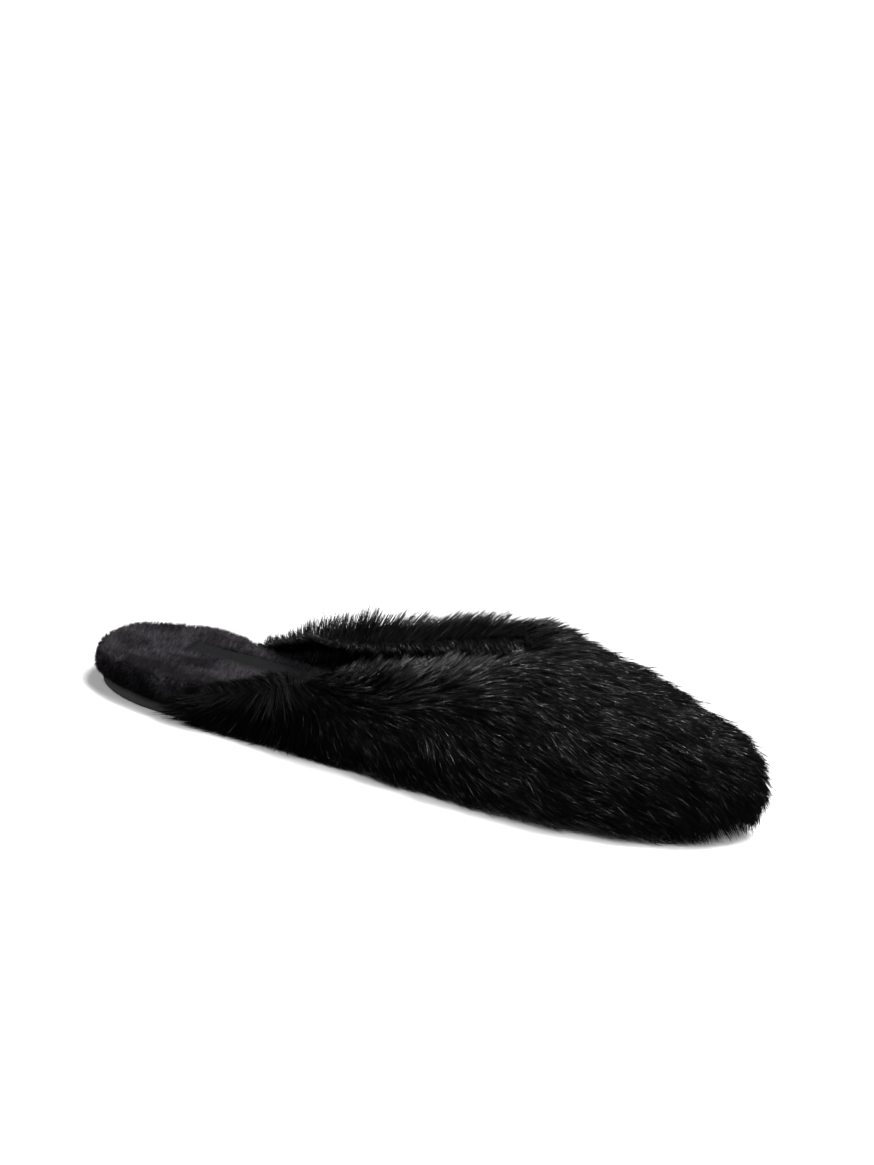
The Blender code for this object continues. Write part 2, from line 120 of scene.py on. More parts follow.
@dataclass(frozen=True)
class Ripple:
    """A soft, repeatable ripple over space, from waves in many directions."""

    wavelength: float
    seed: int
    waves: int = 14

    def at(self, points: Array) -> Array:
        """Reads the ripple.

        Args:
            points: Places in millimetres, one row each.

        Returns:
            Values mostly between -1 and 1.
        """
        rng = np.random.default_rng(self.seed)
        ways = unit(rng.normal(size=(self.waves, 3)))
        pace = 2 * math.pi / (self.wavelength * rng.uniform(0.7, 1.6, self.waves))
        start = rng.uniform(0, 2 * math.pi, self.waves)
        total = np.zeros(len(points))
        for way, rate, phase in zip(ways, pace, start):
            total += np.sin(points @ way * rate + phase)
        return total / math.sqrt(self.waves / 2.0) * 0.7


@dataclass(frozen=True)
class LastForm:
    """The shared form of the slipper: its outline, sole, footbed and upper, in millimetres."""

    sole_length: float = 240.0
    ball_width: float = 71.0
    heel_width: float = 58.0
    sole_thickness: float = 4.6
    heel_bevel_rise: float = 0.8
    heel_bevel_length: float = 9.0
    arch_start: float = 64.0
    arch_end: float = 124.0
    arch_rise: float = 0.6
    spring_start: float = 184.0
    toe_spring: float = 5.0
    clearance: float = 0.3
    bed_heel_thickness: float = 8.8
    bed_toe_thickness: float = 6.0
    bed_cup_depth: float = 1.5
    bed_overhang: float = 2.5
    bed_upper_round: float = 3.0
    collar_back: float = 48.0
    throat: float = 156.0
    vamp_turn: float = 185.0
    ridge_end: float = 223.0
    instep_height: float = 43.4
    wall: float = 2.5
    hem_lap: float = 0.8
    bulge: float = 1.5
    lateral_fullness: float = 2.2
    medial_fullness: float = 2.5
    ridge_side: float = 0.54
    heel_rest_x: float = 35.0
    outline: tuple = (
        (0.000, 0.000, 0.000),
        (0.003, 0.121, 0.138),
        (0.015, 0.241, 0.250),
        (0.036, 0.336, 0.345),
        (0.066, 0.422, 0.431),
        (0.100, 0.474, 0.483),
        (0.140, 0.500, 0.497),
        (0.200, 0.517, 0.466),
        (0.280, 0.514, 0.357),
        (0.360, 0.492, 0.269),
        (0.440, 0.481, 0.244),
        (0.520, 0.507, 0.310),
        (0.600, 0.542, 0.408),
        (0.680, 0.563, 0.437),
        (0.750, 0.561, 0.430),
        (0.800, 0.528, 0.406),
        (0.850, 0.472, 0.352),
        (0.900, 0.394, 0.282),
        (0.940, 0.310, 0.218),
        (0.970, 0.225, 0.155),
        (0.990, 0.127, 0.070),
        (1.000, 0.014, -0.014),
    )
    ridge: tuple = (
        (0.20, 1.046),
        (0.50, 1.044),
        (0.60, 1.025),
        (0.65, 1.000),
        (0.70, 0.972),
        (0.75, 0.922),
        (0.80, 0.846),
        (0.833, 0.779),
        (0.875, 0.700),
        (0.917, 0.608),
        (0.95, 0.530),
    )
    collar: tuple = (
        (0.000, 0.155),
        (0.110, 0.244),
        (0.296, 0.420),
        (0.480, 0.575),
        (0.667, 0.710),
        (0.850, 0.840),
        (0.944, 0.930),
        (1.000, 1.000),
    )

    def turn_of(self, share: Array) -> Array:
        """Turns shares of the length into angle shares, which keep both round ends smooth."""
        return np.arccos(1.0 - 2.0 * np.clip(share, 0.0, 1.0)) / math.pi

    def length_at(self, turn: Array) -> Array:
        """X of the outline at angle shares."""
        return self.sole_length * (1.0 - np.cos(math.pi * np.asarray(turn))) / 2.0

    def reach(self, turn: Array, side: Side) -> Array:
        """Y of the outline at angle shares, on one side."""
        share = self.length_at(turn) / self.sole_length
        width = self.heel_width + (self.ball_width - self.heel_width) * smoothstep(0.2, 0.5, share)
        table = tuple((float(self.turn_of(row[0])), row[1], row[2]) for row in self.outline)
        return side.value * width * curve(table, 1 if side is Side.LATERAL else 2, turn)

    def edge(self, turn: Array, side: Side, outward: Array) -> Array:
        """Points of the outline, moved outward square to it.

        Args:
            turn: Angle shares along the outline.
            side: The half of the outline.
            outward: How far each point moves out.

        Returns:
            One row of X and Y for each angle share.
        """
        turn = np.asarray(turn, float)
        before = np.clip(turn - 0.002, 0.0, 1.0)
        after = np.clip(turn + 0.002, 0.0, 1.0)
        along = np.stack(
            [
                self.length_at(after) - self.length_at(before),
                self.reach(after, side) - self.reach(before, side),
            ],
            axis=-1,
        )
        along = unit(along)
        normal = np.stack([-along[..., 1], along[..., 0]], axis=-1) * side.value
        base = np.stack([self.length_at(turn), self.reach(turn, side)], axis=-1)
        return base + normal * np.asarray(outward, float)[..., None]

    def sole_bottom(self, x: Array) -> Array:
        """Height of the tread's walking surface."""
        x = np.asarray(x, float)
        heel = np.clip(1.0 - x / self.heel_bevel_length, 0.0, None) ** 2 * self.heel_bevel_rise
        spring = np.clip((x - self.spring_start) / (self.sole_length - self.spring_start), 0.0, None)
        share = np.clip((x - self.arch_start) / (self.arch_end - self.arch_start), 0.0, 1.0)
        return heel + spring**2 * self.toe_spring + np.sin(math.pi * share) ** 2 * self.arch_rise

    def sole_top(self, x: Array) -> Array:
        """Height of the outsole's upper face."""
        x = np.asarray(x, float)
        heel = np.clip(1.0 - x / self.heel_bevel_length, 0.0, None) ** 2 * self.heel_bevel_rise
        return self.sole_bottom(x) - heel + self.sole_thickness

    def bed_edge(self, turn: Array, side: Side, inset: Array) -> Array:
        """Points of the footbed's edge, moved inward by inset."""
        inside = self.wall - self.hem_lap + self.clearance + 0.1
        change = smoothstep(self.collar_back - 13.0, self.collar_back - 2.0, self.length_at(turn))
        return self.edge(turn, side, self.bed_overhang * (1 - change) - inside * change - inset)

    def bed_rim(self, x: Array) -> Array:
        """Height of the footbed's upper edge."""
        front = smoothstep(0.28, 0.66, np.asarray(x) / self.sole_length)
        thick = self.bed_heel_thickness + (self.bed_toe_thickness - self.bed_heel_thickness) * front
        return self.sole_top(x) + self.clearance + thick

    def bed_cup(self, x: Array) -> Array:
        """Depth of the hollow along the middle of the footbed."""
        share = np.asarray(x) / self.sole_length
        return self.bed_cup_depth * smoothstep(0.0, 0.08, share) * (1 - smoothstep(0.72, 0.95, share))

    def bed_top(self, x: Array, y: Array) -> Array:
        """Height of the footbed's upper face at places inside its edge."""
        turn = self.turn_of(np.asarray(x) / self.sole_length)
        inset = np.full(np.shape(turn), self.bed_upper_round)
        left = self.bed_edge(turn, Side.LATERAL, inset)[..., 1]
        right = self.bed_edge(turn, Side.MEDIAL, inset)[..., 1]
        across = np.clip(np.abs((2 * np.asarray(y) - left - right) / (right - left)), 0.0, 1.0)
        return self.bed_rim(x) - self.bed_cup(x) * (1 - across * across)

    def ridge_place(self, turn: Array) -> Array:
        """X on the upper's top line that each section rises to."""
        x = self.length_at(turn)
        start = float(self.turn_of(self.vamp_turn / self.sole_length))
        share = np.clip((np.asarray(turn) - start) / (1.0 - start), 0.0, 1.0)
        far = self.vamp_turn + (self.ridge_end - self.vamp_turn) * (1 - (1 - share) ** 1.5)
        return np.where(x <= self.vamp_turn, x, far)

    def hem_turns(self, side: Side, count: int) -> Array:
        """Angle shares evenly spaced along the hem, from the back of the upper to the toe."""
        steps = np.linspace(float(self.turn_of(self.collar_back / self.sole_length)), 1.0, 900)
        spots = self.edge(steps, side, np.full(900, self.hem_lap))
        run = np.concatenate([[0.0], np.cumsum(np.linalg.norm(np.diff(spots, axis=0), axis=1))])
        return np.interp(np.linspace(0.0, run[-1], count), run, steps)

    def upper_grid(self, side: Side, columns: int, rows: int) -> Array:
        """Points of the upper's outer skin.

        Args:
            side: The half of the upper.
            columns: Sections from the back to the toe.
            rows: Points of each section, evenly spaced from the hem up.

        Returns:
            An array of columns by rows by 3.
        """
        turn = self.hem_turns(side, columns)
        hem = self.edge(turn, side, np.full(columns, self.hem_lap))
        hem_height = self.sole_top(hem[:, 0]) + self.clearance
        x = self.ridge_place(turn)
        ridge_turn = self.turn_of(x / self.sole_length)
        lateral = self.reach(ridge_turn, Side.LATERAL)
        medial = self.reach(ridge_turn, Side.MEDIAL)
        top = np.stack([x, lateral + (medial - lateral) * self.ridge_side], axis=-1)
        top_height = self.sole_thickness + self.instep_height * curve(self.ridge, 1, x / self.sole_length)
        own = self.medial_fullness if side is Side.MEDIAL else self.lateral_fullness
        mean = (self.medial_fullness + self.lateral_fullness) / 2
        power = 2.0 / (own + (mean - own) * smoothstep(0.94, 1.0, turn))
        share = curve(self.collar, 1, (x - self.collar_back) / (self.throat - self.collar_back))
        end = np.arcsin(np.clip(share, 0.02, 1.0) ** (1.0 / power))
        end = np.where(x < self.throat, end, math.pi / 2)
        spread = hem - top
        angle = end[:, None] * np.linspace(0.0, 1.0, 90)[None, :]
        out = np.clip(np.cos(angle), 0.0, None) ** power[:, None]
        out += self.bulge / np.linalg.norm(spread, axis=1)[:, None] * np.sin(2 * angle)
        flat = top[:, None, :] + spread[:, None, :] * out[..., None]
        rise = np.sin(angle) ** power[:, None]
        height = hem_height[:, None] + (top_height - hem_height)[:, None] * rise
        dense = np.concatenate([flat, height[..., None]], axis=-1)
        grid = np.empty((columns, rows, 3))
        for column in range(columns):
            steps = np.linalg.norm(np.diff(dense[column], axis=0), axis=1)
            run = np.concatenate([[0.0], np.cumsum(steps)])
            for axis in range(3):
                grid[column, :, axis] = np.interp(
                    np.linspace(0.0, run[-1], rows), run, dense[column, :, axis]
                )
        return grid


FORM = LastForm()


def to_row(points: Array) -> Array:
    """Turns millimetres from the heel's end into metres in the row's frame."""
    shifted = np.array(points, float).reshape(-1, 3).copy()
    shifted[:, 0] -= FORM.heel_rest_x
    return shifted * 0.001


def make_mesh(name: str, points: Array, faces: Array, tone: Array | None = None) -> bpy.types.Object:
    """Makes a smooth object from points in millimetres and faces of equal length.

    Args:
        name: The object's name.
        points: One row for each point.
        faces: One row of point numbers for each face.
        tone: How light its finish is at each point, from 0 to 1.

    Returns:
        The new object, linked to the scene.
    """
    faces = np.asarray(faces, np.int32)
    sides = faces.shape[1]
    mesh = bpy.data.meshes.new(name)
    mesh.vertices.add(len(points))
    mesh.vertices.foreach_set("co", to_row(points).astype(np.float32).ravel())
    mesh.loops.add(faces.size)
    mesh.loops.foreach_set("vertex_index", faces.ravel())
    mesh.polygons.add(len(faces))
    mesh.polygons.foreach_set("loop_start", np.arange(0, faces.size, sides, dtype=np.int32))
    mesh.update(calc_edges=True)
    mesh.shade_smooth()
    if tone is not None:
        layer = mesh.attributes.new(TONE, "FLOAT", "POINT")
        layer.data.foreach_set("value", np.asarray(tone, np.float32).ravel())
    piece = bpy.data.objects.new(name, mesh)
    bpy.context.scene.collection.objects.link(piece)
    return piece


def grid_faces(columns: int, rows: int, start: int = 0, flip: bool = False) -> Array:
    """Quads of a grid of points whose rows run fastest."""
    column, row = np.meshgrid(np.arange(columns - 1), np.arange(rows - 1), indexing="ij")
    corner = (column * rows + row).ravel() + start
    quads = np.stack([corner, corner + rows, corner + rows + 1, corner + 1], axis=1)
    return quads[:, ::-1] if flip else quads


def dress(piece: bpy.types.Object, material: bpy.types.Material) -> None:
    """Gives a piece its material and its body, and logs its triangles."""
    piece.data.materials.clear()
    piece.data.materials.append(material)
    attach(piece, "root")
    LOG.info("%s: %d triangles", piece.name, sum(len(face.vertices) - 2 for face in piece.data.polygons))


@dataclass
class NodeSketch:
    """Short ways to place and join the nodes of one material or group."""

    tree: bpy.types.NodeTree

    def add(self, kind: str, **values: object) -> bpy.types.Node:
        """Adds a node and sets its plain properties."""
        node = self.tree.nodes.new(kind)
        for name, value in values.items():
            setattr(node, name, value)
        return node

    def join(self, source: bpy.types.NodeSocket, target: bpy.types.NodeSocket) -> None:
        """Links one socket to another."""
        self.tree.links.new(source, target)


class NapGroup:
    """A shared effect: brushed patches and fine grain over a pile or a moulded surface."""

    name = "nap_and_grain"

    @classmethod
    def tree(cls) -> bpy.types.NodeTree:
        """Returns the node group, which is built on the first call."""
        found = bpy.data.node_groups.get(cls.name)
        if found is not None:
            return found
        group = bpy.data.node_groups.new(cls.name, "ShaderNodeTree")
        face = group.interface
        for title, value in (("Patch Scale", 60.0), ("Grain Scale", 900.0), ("Bump", 0.3), ("Patch Edge", 0.2)):
            socket = face.new_socket(name=title, in_out="INPUT", socket_type="NodeSocketFloat")
            socket.default_value = value
        face.new_socket(name="Patch", in_out="OUTPUT", socket_type="NodeSocketFloat")
        face.new_socket(name="Grain", in_out="OUTPUT", socket_type="NodeSocketFloat")
        face.new_socket(name="Normal", in_out="OUTPUT", socket_type="NodeSocketVector")
        sketch = NodeSketch(group)
        inlet = sketch.add("NodeGroupInput")
        outlet = sketch.add("NodeGroupOutput")
        place = sketch.add("ShaderNodeTexCoord")
        patch = sketch.add("ShaderNodeTexNoise")
        patch.inputs["Detail"].default_value = 2.5
        patch.inputs["Distortion"].default_value = 0.8
        grain = sketch.add("ShaderNodeTexNoise")
        grain.inputs["Detail"].default_value = 3.0
        low = sketch.add("ShaderNodeMath", operation="SUBTRACT")
        low.inputs[0].default_value = 0.5
        high = sketch.add("ShaderNodeMath", operation="ADD")
        high.inputs[0].default_value = 0.5
        level = sketch.add("ShaderNodeMapRange", interpolation_type="SMOOTHSTEP")
        bump = sketch.add("ShaderNodeBump")
        bump.inputs["Distance"].default_value = 0.0004
        sketch.join(place.outputs["Object"], patch.inputs["Vector"])
        sketch.join(place.outputs["Object"], grain.inputs["Vector"])
        sketch.join(inlet.outputs["Patch Scale"], patch.inputs["Scale"])
        sketch.join(inlet.outputs["Grain Scale"], grain.inputs["Scale"])
        sketch.join(inlet.outputs["Patch Edge"], low.inputs[1])
        sketch.join(inlet.outputs["Patch Edge"], high.inputs[1])
        sketch.join(patch.outputs["Fac"], level.inputs["Value"])
        sketch.join(low.outputs[0], level.inputs["From Min"])
        sketch.join(high.outputs[0], level.inputs["From Max"])
        sketch.join(grain.outputs["Fac"], bump.inputs["Height"])
        sketch.join(inlet.outputs["Bump"], bump.inputs["Strength"])
        sketch.join(level.outputs["Result"], outlet.inputs["Patch"])
        sketch.join(grain.outputs["Fac"], outlet.inputs["Grain"])
        sketch.join(bump.outputs["Normal"], outlet.inputs["Normal"])
        return group


@dataclass(frozen=True)
class Finish:
    """One finish of the slipper, from two tones that its patches and grain mix."""

    name: str
    dark: tuple
    light: tuple
    roughness: float
    patch_scale: float
    grain_scale: float
    bump: float
    patch_edge: float
    coat: float = 0.0
    coat_roughness: float = 0.3
    coat_ior: float = 1.5
    specular: float = 0.5
    grain_share: float = 0.25
    roughness_swing: float = 0.05
    from_mesh: bool = False

    def material(self) -> bpy.types.Material:
        """Builds the material.

        Returns:
            A new material with its nodes.
        """
        made = bpy.data.materials.new(self.name)
        made.use_nodes = True
        sketch = NodeSketch(made.node_tree)
        shader = made.node_tree.nodes["Principled BSDF"]
        nap = sketch.add("ShaderNodeGroup", node_tree=NapGroup.tree())
        nap.inputs["Patch Scale"].default_value = self.patch_scale
        nap.inputs["Grain Scale"].default_value = self.grain_scale
        nap.inputs["Bump"].default_value = self.bump
        nap.inputs["Patch Edge"].default_value = self.patch_edge
        source = nap.outputs["Patch"]
        if self.from_mesh:
            source = sketch.add("ShaderNodeAttribute", attribute_name=TONE).outputs["Fac"]
        blend = sketch.add("ShaderNodeMix", data_type="FLOAT")
        blend.inputs["Factor"].default_value = self.grain_share
        sketch.join(source, blend.inputs[2])
        sketch.join(nap.outputs["Grain"], blend.inputs[3])
        tone = sketch.add("ShaderNodeMix", data_type="RGBA")
        tone.inputs[6].default_value = (*self.dark, 1.0)
        tone.inputs[7].default_value = (*self.light, 1.0)
        sketch.join(blend.outputs[0], tone.inputs[0])
        sketch.join(tone.outputs[2], shader.inputs["Base Color"])
        sketch.join(nap.outputs["Normal"], shader.inputs["Normal"])
        matt = sketch.add("ShaderNodeMapRange")
        matt.inputs["From Min"].default_value = 0.3
        matt.inputs["From Max"].default_value = 0.7
        matt.inputs["To Min"].default_value = self.roughness - self.roughness_swing
        matt.inputs["To Max"].default_value = self.roughness + self.roughness_swing
        sketch.join(nap.outputs["Grain"], matt.inputs["Value"])
        sketch.join(matt.outputs["Result"], shader.inputs["Roughness"])
        if self.coat > 0.0:
            glint = sketch.add("ShaderNodeMath", operation="MULTIPLY")
            glint.inputs[1].default_value = self.coat
            sketch.join(source, glint.inputs[0])
            sketch.join(glint.outputs[0], shader.inputs["Coat Weight"])
            shader.inputs["Coat Roughness"].default_value = self.coat_roughness
            shader.inputs["Coat IOR"].default_value = self.coat_ior
        shader.inputs["Specular IOR Level"].default_value = self.specular
        return made


# The fur takes its tone from the mesh: each strand's shine, with painted shade toward the roots
FUR = Finish(
    name="black_faux_fur",
    dark=(0.0007, 0.0007, 0.0009),
    light=(0.0042, 0.0040, 0.0044),
    roughness=0.55,
    patch_scale=90.0,
    grain_scale=1500.0,
    bump=0.0,
    patch_edge=0.22,
    coat=1.0,
    coat_roughness=0.22,
    coat_ior=2.0,
    specular=0.12,
    roughness_swing=0.10,
    from_mesh=True,
)
BACKING = Finish(
    name="fur_backing",
    dark=(0.0008, 0.0008, 0.0009),
    light=(0.002, 0.002, 0.002),
    roughness=0.85,
    patch_scale=90.0,
    grain_scale=900.0,
    bump=0.4,
    patch_edge=0.3,
    specular=0.1,
)
# The plush takes its tone from the mesh: painted light and shade of the brushed nap
PLUSH = Finish(
    name="black_plush",
    dark=(0.0012, 0.0010, 0.0015),
    light=(0.0480, 0.0430, 0.0503),
    roughness=0.75,
    patch_scale=62.0,
    grain_scale=1500.0,
    bump=0.3,
    patch_edge=0.10,
    specular=0.08,
    from_mesh=True,
)
LINING = Finish(
    name="plush_lining",
    dark=(0.003, 0.003, 0.0034),
    light=(0.009, 0.0086, 0.010),
    roughness=0.85,
    patch_scale=60.0,
    grain_scale=1500.0,
    bump=0.4,
    patch_edge=0.2,
    specular=0.25,
)
RUBBER = Finish(
    name="charcoal_rubber",
    dark=(0.050, 0.050, 0.051),
    light=(0.088, 0.088, 0.090),
    roughness=0.55,
    patch_scale=40.0,
    grain_scale=1300.0,
    bump=0.55,
    patch_edge=0.4,
    specular=0.4,
)
SATIN = Finish(
    name="black_satin_label",
    dark=(0.0014, 0.0014, 0.0018),
    light=(0.0042, 0.0041, 0.0048),
    roughness=0.66,
    patch_scale=200.0,
    grain_scale=2600.0,
    bump=0.35,
    patch_edge=0.4,
    specular=0.15,
)


@dataclass
class Strands:
    """A field of tapered strands, each a closed three-sided spike, made as joined meshes."""

    name: str
    kind: PileKind
    paths: Array
    widths: Array
    normals: Array
    shine: Array
    # Share of the tone kept at a strand's root: painted shade that darkens each strand toward its root
    root_tone: float = 0.1
    seed: int = 1

    def mesh(self) -> bpy.types.Object:
        """Turns the paths into one joined mesh.

        Returns:
            The object that holds every strand.
        """
        rings = self.kind.value
        count = len(self.paths)
        rng = np.random.default_rng(self.seed)
        along = np.diff(self.paths, axis=1)
        way = np.concatenate([along[:, :1], (along[:, :-1] + along[:, 1:]) / 2], axis=1)[:, :rings]
        way = unit(way)
        beside = unit(np.cross(way, self.normals[:, None, :]) + 1e-6)
        above = np.cross(beside, way)
        roll = rng.uniform(0, 2 * math.pi, count)[:, None]
        share = np.linspace(0.0, 1.0, rings + 1)[:rings]
        radius = self.widths[:, None] / 2 * (1.0 - 0.55 * share[None, :] ** 1.6)
        points = np.empty((count, rings * 3 + 1, 3))
        for corner in range(3):
            angle = roll + corner * 2 * math.pi / 3
            spoke = beside * np.cos(angle)[..., None] + above * np.sin(angle)[..., None]
            points[:, corner : rings * 3 : 3] = self.paths[:, :rings] + spoke * radius[..., None]
        points[:, -1] = self.paths[:, rings]
        one = []
        for ring in range(rings - 1):
            for corner in range(3):
                a = ring * 3 + corner
                b = ring * 3 + (corner + 1) % 3
                one.append((a, b, b + 3))
                one.append((a, b + 3, a + 3))
        for corner in range(3):
            one.append(((rings - 1) * 3 + corner, (rings - 1) * 3 + (corner + 1) % 3, rings * 3))
        pattern = np.array(one, np.int64)
        offset = np.arange(count, dtype=np.int64) * (rings * 3 + 1)
        faces = (pattern[None] + offset[:, None, None]).reshape(-1, 3)
        # Painted shade: each strand's tone climbs from root_tone at the root to its full shine at the tip
        climb = np.concatenate([np.repeat(share, 3), [1.0]])
        tone = self.shine[:, None] * (self.root_tone + (1 - self.root_tone) * climb[None, :])
        return make_mesh(self.name, points.reshape(-1, 3), faces, tone)


@dataclass
class Skin:
    """A sampled surface with its own frame: normal, forward and up at each point of a grid."""

    grid: Array
    side: Side
    normal: Array = field(init=False)
    ahead: Array = field(init=False)
    rise: Array = field(init=False)

    def __post_init__(self) -> None:
        """Works out the frame from neighbouring points."""
        self.ahead = unit(np.gradient(self.grid, axis=0))
        up = np.gradient(self.grid, axis=1)
        if self.side is Side.LATERAL:
            self.normal = unit(np.cross(self.ahead, up))
        else:
            self.normal = unit(np.cross(up, self.ahead))
        self.rise = unit(up)

    def areas(self) -> Array:
        """Area of each cell of the grid."""
        across = self.grid[1:, 1:] - self.grid[:-1, :-1]
        other = self.grid[1:, :-1] - self.grid[:-1, 1:]
        return np.linalg.norm(np.cross(across, other), axis=-1) / 2

    def scatter(self, count: int, rng: np.random.Generator, weight: Array) -> tuple:
        """Chooses places on the surface, as many to each area as its weight asks.

        Args:
            count: How many places.
            rng: The source of chance.
            weight: A weight for each cell.

        Returns:
            Fractional column and row of each place.
        """
        share = np.cumsum((self.areas() * weight).ravel())
        spots = (np.arange(count) + rng.uniform(0, 1, count)) / count * share[-1]
        cell = np.clip(np.searchsorted(share, spots), 0, share.size - 1)
        rows = self.grid.shape[1] - 1
        return cell // rows + rng.uniform(0, 1, count), cell % rows + rng.uniform(0, 1, count)

    def read(self, values: Array, column: Array, row: Array) -> Array:
        """Reads a grid of values between its points."""
        i = np.clip(column.astype(int), 0, values.shape[0] - 2)
        j = np.clip(row.astype(int), 0, values.shape[1] - 2)
        a = (column - i)[:, None]
        b = (row - j)[:, None]
        low = values[i, j] * (1 - a) + values[i + 1, j] * a
        high = values[i, j + 1] * (1 - a) + values[i + 1, j + 1] * a
        return low * (1 - b) + high * b


class Ground(Enum):
    """Where on the upper a field of pile is rooted."""

    OUTER = "outer"
    RIM = "rim"
    INNER = "inner"


@dataclass(frozen=True)
class Lot:
    """How one field of pile is sown: its count, its strands and where it stands."""

    name: str
    count: int
    strands: int
    kind: PileKind
    ground: Ground = Ground.OUTER


@dataclass
class FurCoat:
    """The long pile of the upper: backing, lining, locks and loose strands."""

    columns: int = 260
    rows: int = 90
    lock_radius: float = 1.25
    strand_width: float = 0.30
    floor_gap: float = 0.35
    rim_reach: float = 8.0
    lots: tuple = (
        Lot("locks", 3500, 8, PileKind.FUR),
        Lot("loose", 2400, 1, PileKind.LONG),
        Lot("collar_rim", 300, 9, PileKind.FUR, Ground.RIM),
        Lot("collar_inside", 300, 9, PileKind.FUR, Ground.INNER),
    )
    hem_turn: tuple = (
        (44, -166),
        (56, -142),
        (68, -114),
        (79, -92),
        (90, -62),
        (105, -34),
        (125, -19),
        (150, -11),
        (185, -9),
        (204, -16),
        (222, -38),
        (240, -60),
    )
    middle_turn: tuple = (
        (44, -166),
        (56, -142),
        (68, -114),
        (79, -92),
        (90, -68),
        (105, -46),
        (125, -32),
        (150, -23),
        (185, -17),
        (215, -19),
        (240, -30),
    )
    rim_turn: tuple = (
        (44, -172),
        (56, -150),
        (66, -118),
        (74, -88),
        (80, -40),
        (86, 15),
        (94, 44),
        (116, 48),
        (140, 42),
        (156, 34),
        (178, 10),
        (200, -6),
        (240, -12),
    )
    far_rim_turn: tuple = (
        (44, 160),
        (58, 130),
        (72, 104),
        (92, 76),
        (112, 50),
        (135, 34),
        (156, 22),
        (178, 6),
        (200, -6),
        (240, -12),
    )
    core: int = 2
    skins: dict = field(default_factory=dict)
    sections: dict = field(default_factory=dict)

    def build(self) -> None:
        """Builds and dresses every piece of the upper."""
        for side in Side:
            self.skins[side] = Skin(FORM.upper_grid(side, self.columns, self.rows), side)
            steps = np.linalg.norm(np.diff(self.skins[side].grid, axis=1), axis=2)
            self.sections[side] = steps.sum(axis=1)
        self.shell()
        fur = FUR.material()
        for side in Side:
            for strands in self.comb(side):
                dress(strands.mesh(), fur)

    def shell(self) -> None:
        """Makes the backing that replaces the plain upper, and its lining."""
        for name, top, below, finish, slot in (
            ("fur_backing", 0.1, FORM.wall - 0.9, BACKING, "black_faux_fur"),
            ("upper_lining", 0.8 - FORM.wall, FORM.wall - 0.1, LINING, "black_plush"),
        ):
            points = []
            faces = []
            start = 0
            for side in Side:
                keep = self.skins[side].grid[::2, ::3]
                normal = self.skins[side].normal[::2, ::3]
                columns, rows = keep.shape[:2]
                size = columns * rows
                outer_flip = side is Side.MEDIAL
                for depth, flip in ((-top, outer_flip), (below, not outer_flip)):
                    points.append((keep - normal * depth).reshape(-1, 3))
                    faces.append(grid_faces(columns, rows, start, flip))
                    start += size
                low = start - 2 * size
                hem = np.arange(columns) * rows
                for edge in (hem, hem + rows - 1, np.arange(rows)):
                    strip = np.stack([edge[:-1], edge[1:], edge[1:] + size, edge[:-1] + size], axis=1)
                    faces.append(strip + low)
            piece = make_mesh(name, np.concatenate(points), np.concatenate(faces))
            dress(piece, finish.material())
            if name == "fur_backing":
                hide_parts("upper")

    def way_at(self, x: Array, rim_gap: Array, height: Array, side: Side) -> Array:
        """The way the outer pile is brushed: a fan that opens from the side of the collar.

        Args:
            x: Distance from the heel of each root.
            rim_gap: Millimetres down from the collar's rim.
            height: Share of the way up each section.
            side: The half of the upper.

        Returns:
            One vector for each root, not yet laid on the skin.
        """
        ways = []
        rim_table = self.rim_turn if side is Side.LATERAL else self.far_rim_turn
        for table in (self.hem_turn, self.middle_turn, rim_table):
            rows = np.array(table, float)
            turn = np.radians(np.interp(x, rows[:, 0], rows[:, 1]))
            ways.append(np.stack([np.cos(turn), np.zeros(len(x)), np.sin(turn)], axis=1))
        reach = 5.0 + 17.0 * smoothstep(82.0, 112.0, x)
        near_rim = (1.0 - smoothstep(0.1, 1.0, rim_gap / reach))[:, None]
        low = (1.0 - smoothstep(0.05, 0.5, height))[:, None]
        way = ways[0] * low + ways[1] * (1 - low)
        way = way * (1 - near_rim) + ways[2] * near_rim
        crown = smoothstep(0.5, 1.0, height) * smoothstep(FORM.throat, FORM.throat + 30.0, x)
        way[:, 1] += side.value * 0.12 * crown
        return way

    def lie(self, x: Array, rim_gap: Array, hem_gap: Array, side: Side) -> tuple:
        """How steeply the outer pile stands and how long it is.

        Args:
            x: Distance from the heel of each root.
            rim_gap: Millimetres down from the collar's rim.
            hem_gap: Millimetres up from the hem.
            side: The half of the upper.

        Returns:
            Angle off the skin at the root, angle at the tip, and length.
        """
        upright = 0.25 + 0.75 * smoothstep(73.0, 92.0, x) if side is Side.LATERAL else 1.0
        rim = (1.0 - smoothstep(1.0, 9.0, rim_gap)) * upright
        toe = smoothstep(205.0, 236.0, x)
        hem = 1.0 - smoothstep(2.0, 14.0, hem_gap)
        back = 1.0 - smoothstep(50.0, 66.0, x)
        steep = np.radians(23.0 + 22.0 * rim + 5.0 * toe + 6.0 * hem)
        final = np.radians(7.0 + 19.0 * rim - 3.0 * hem)
        trim = 3.5 if side is Side.LATERAL else 1.8
        length = 16.5 - trim * rim - 4.5 * toe - 2.5 * hem * (1 - rim) + 1.0 * back * (1 - rim)
        if side is Side.MEDIAL:
            length = length * (0.5 + 0.5 * smoothstep(44.0, 74.0, x))
        return steep, final, length

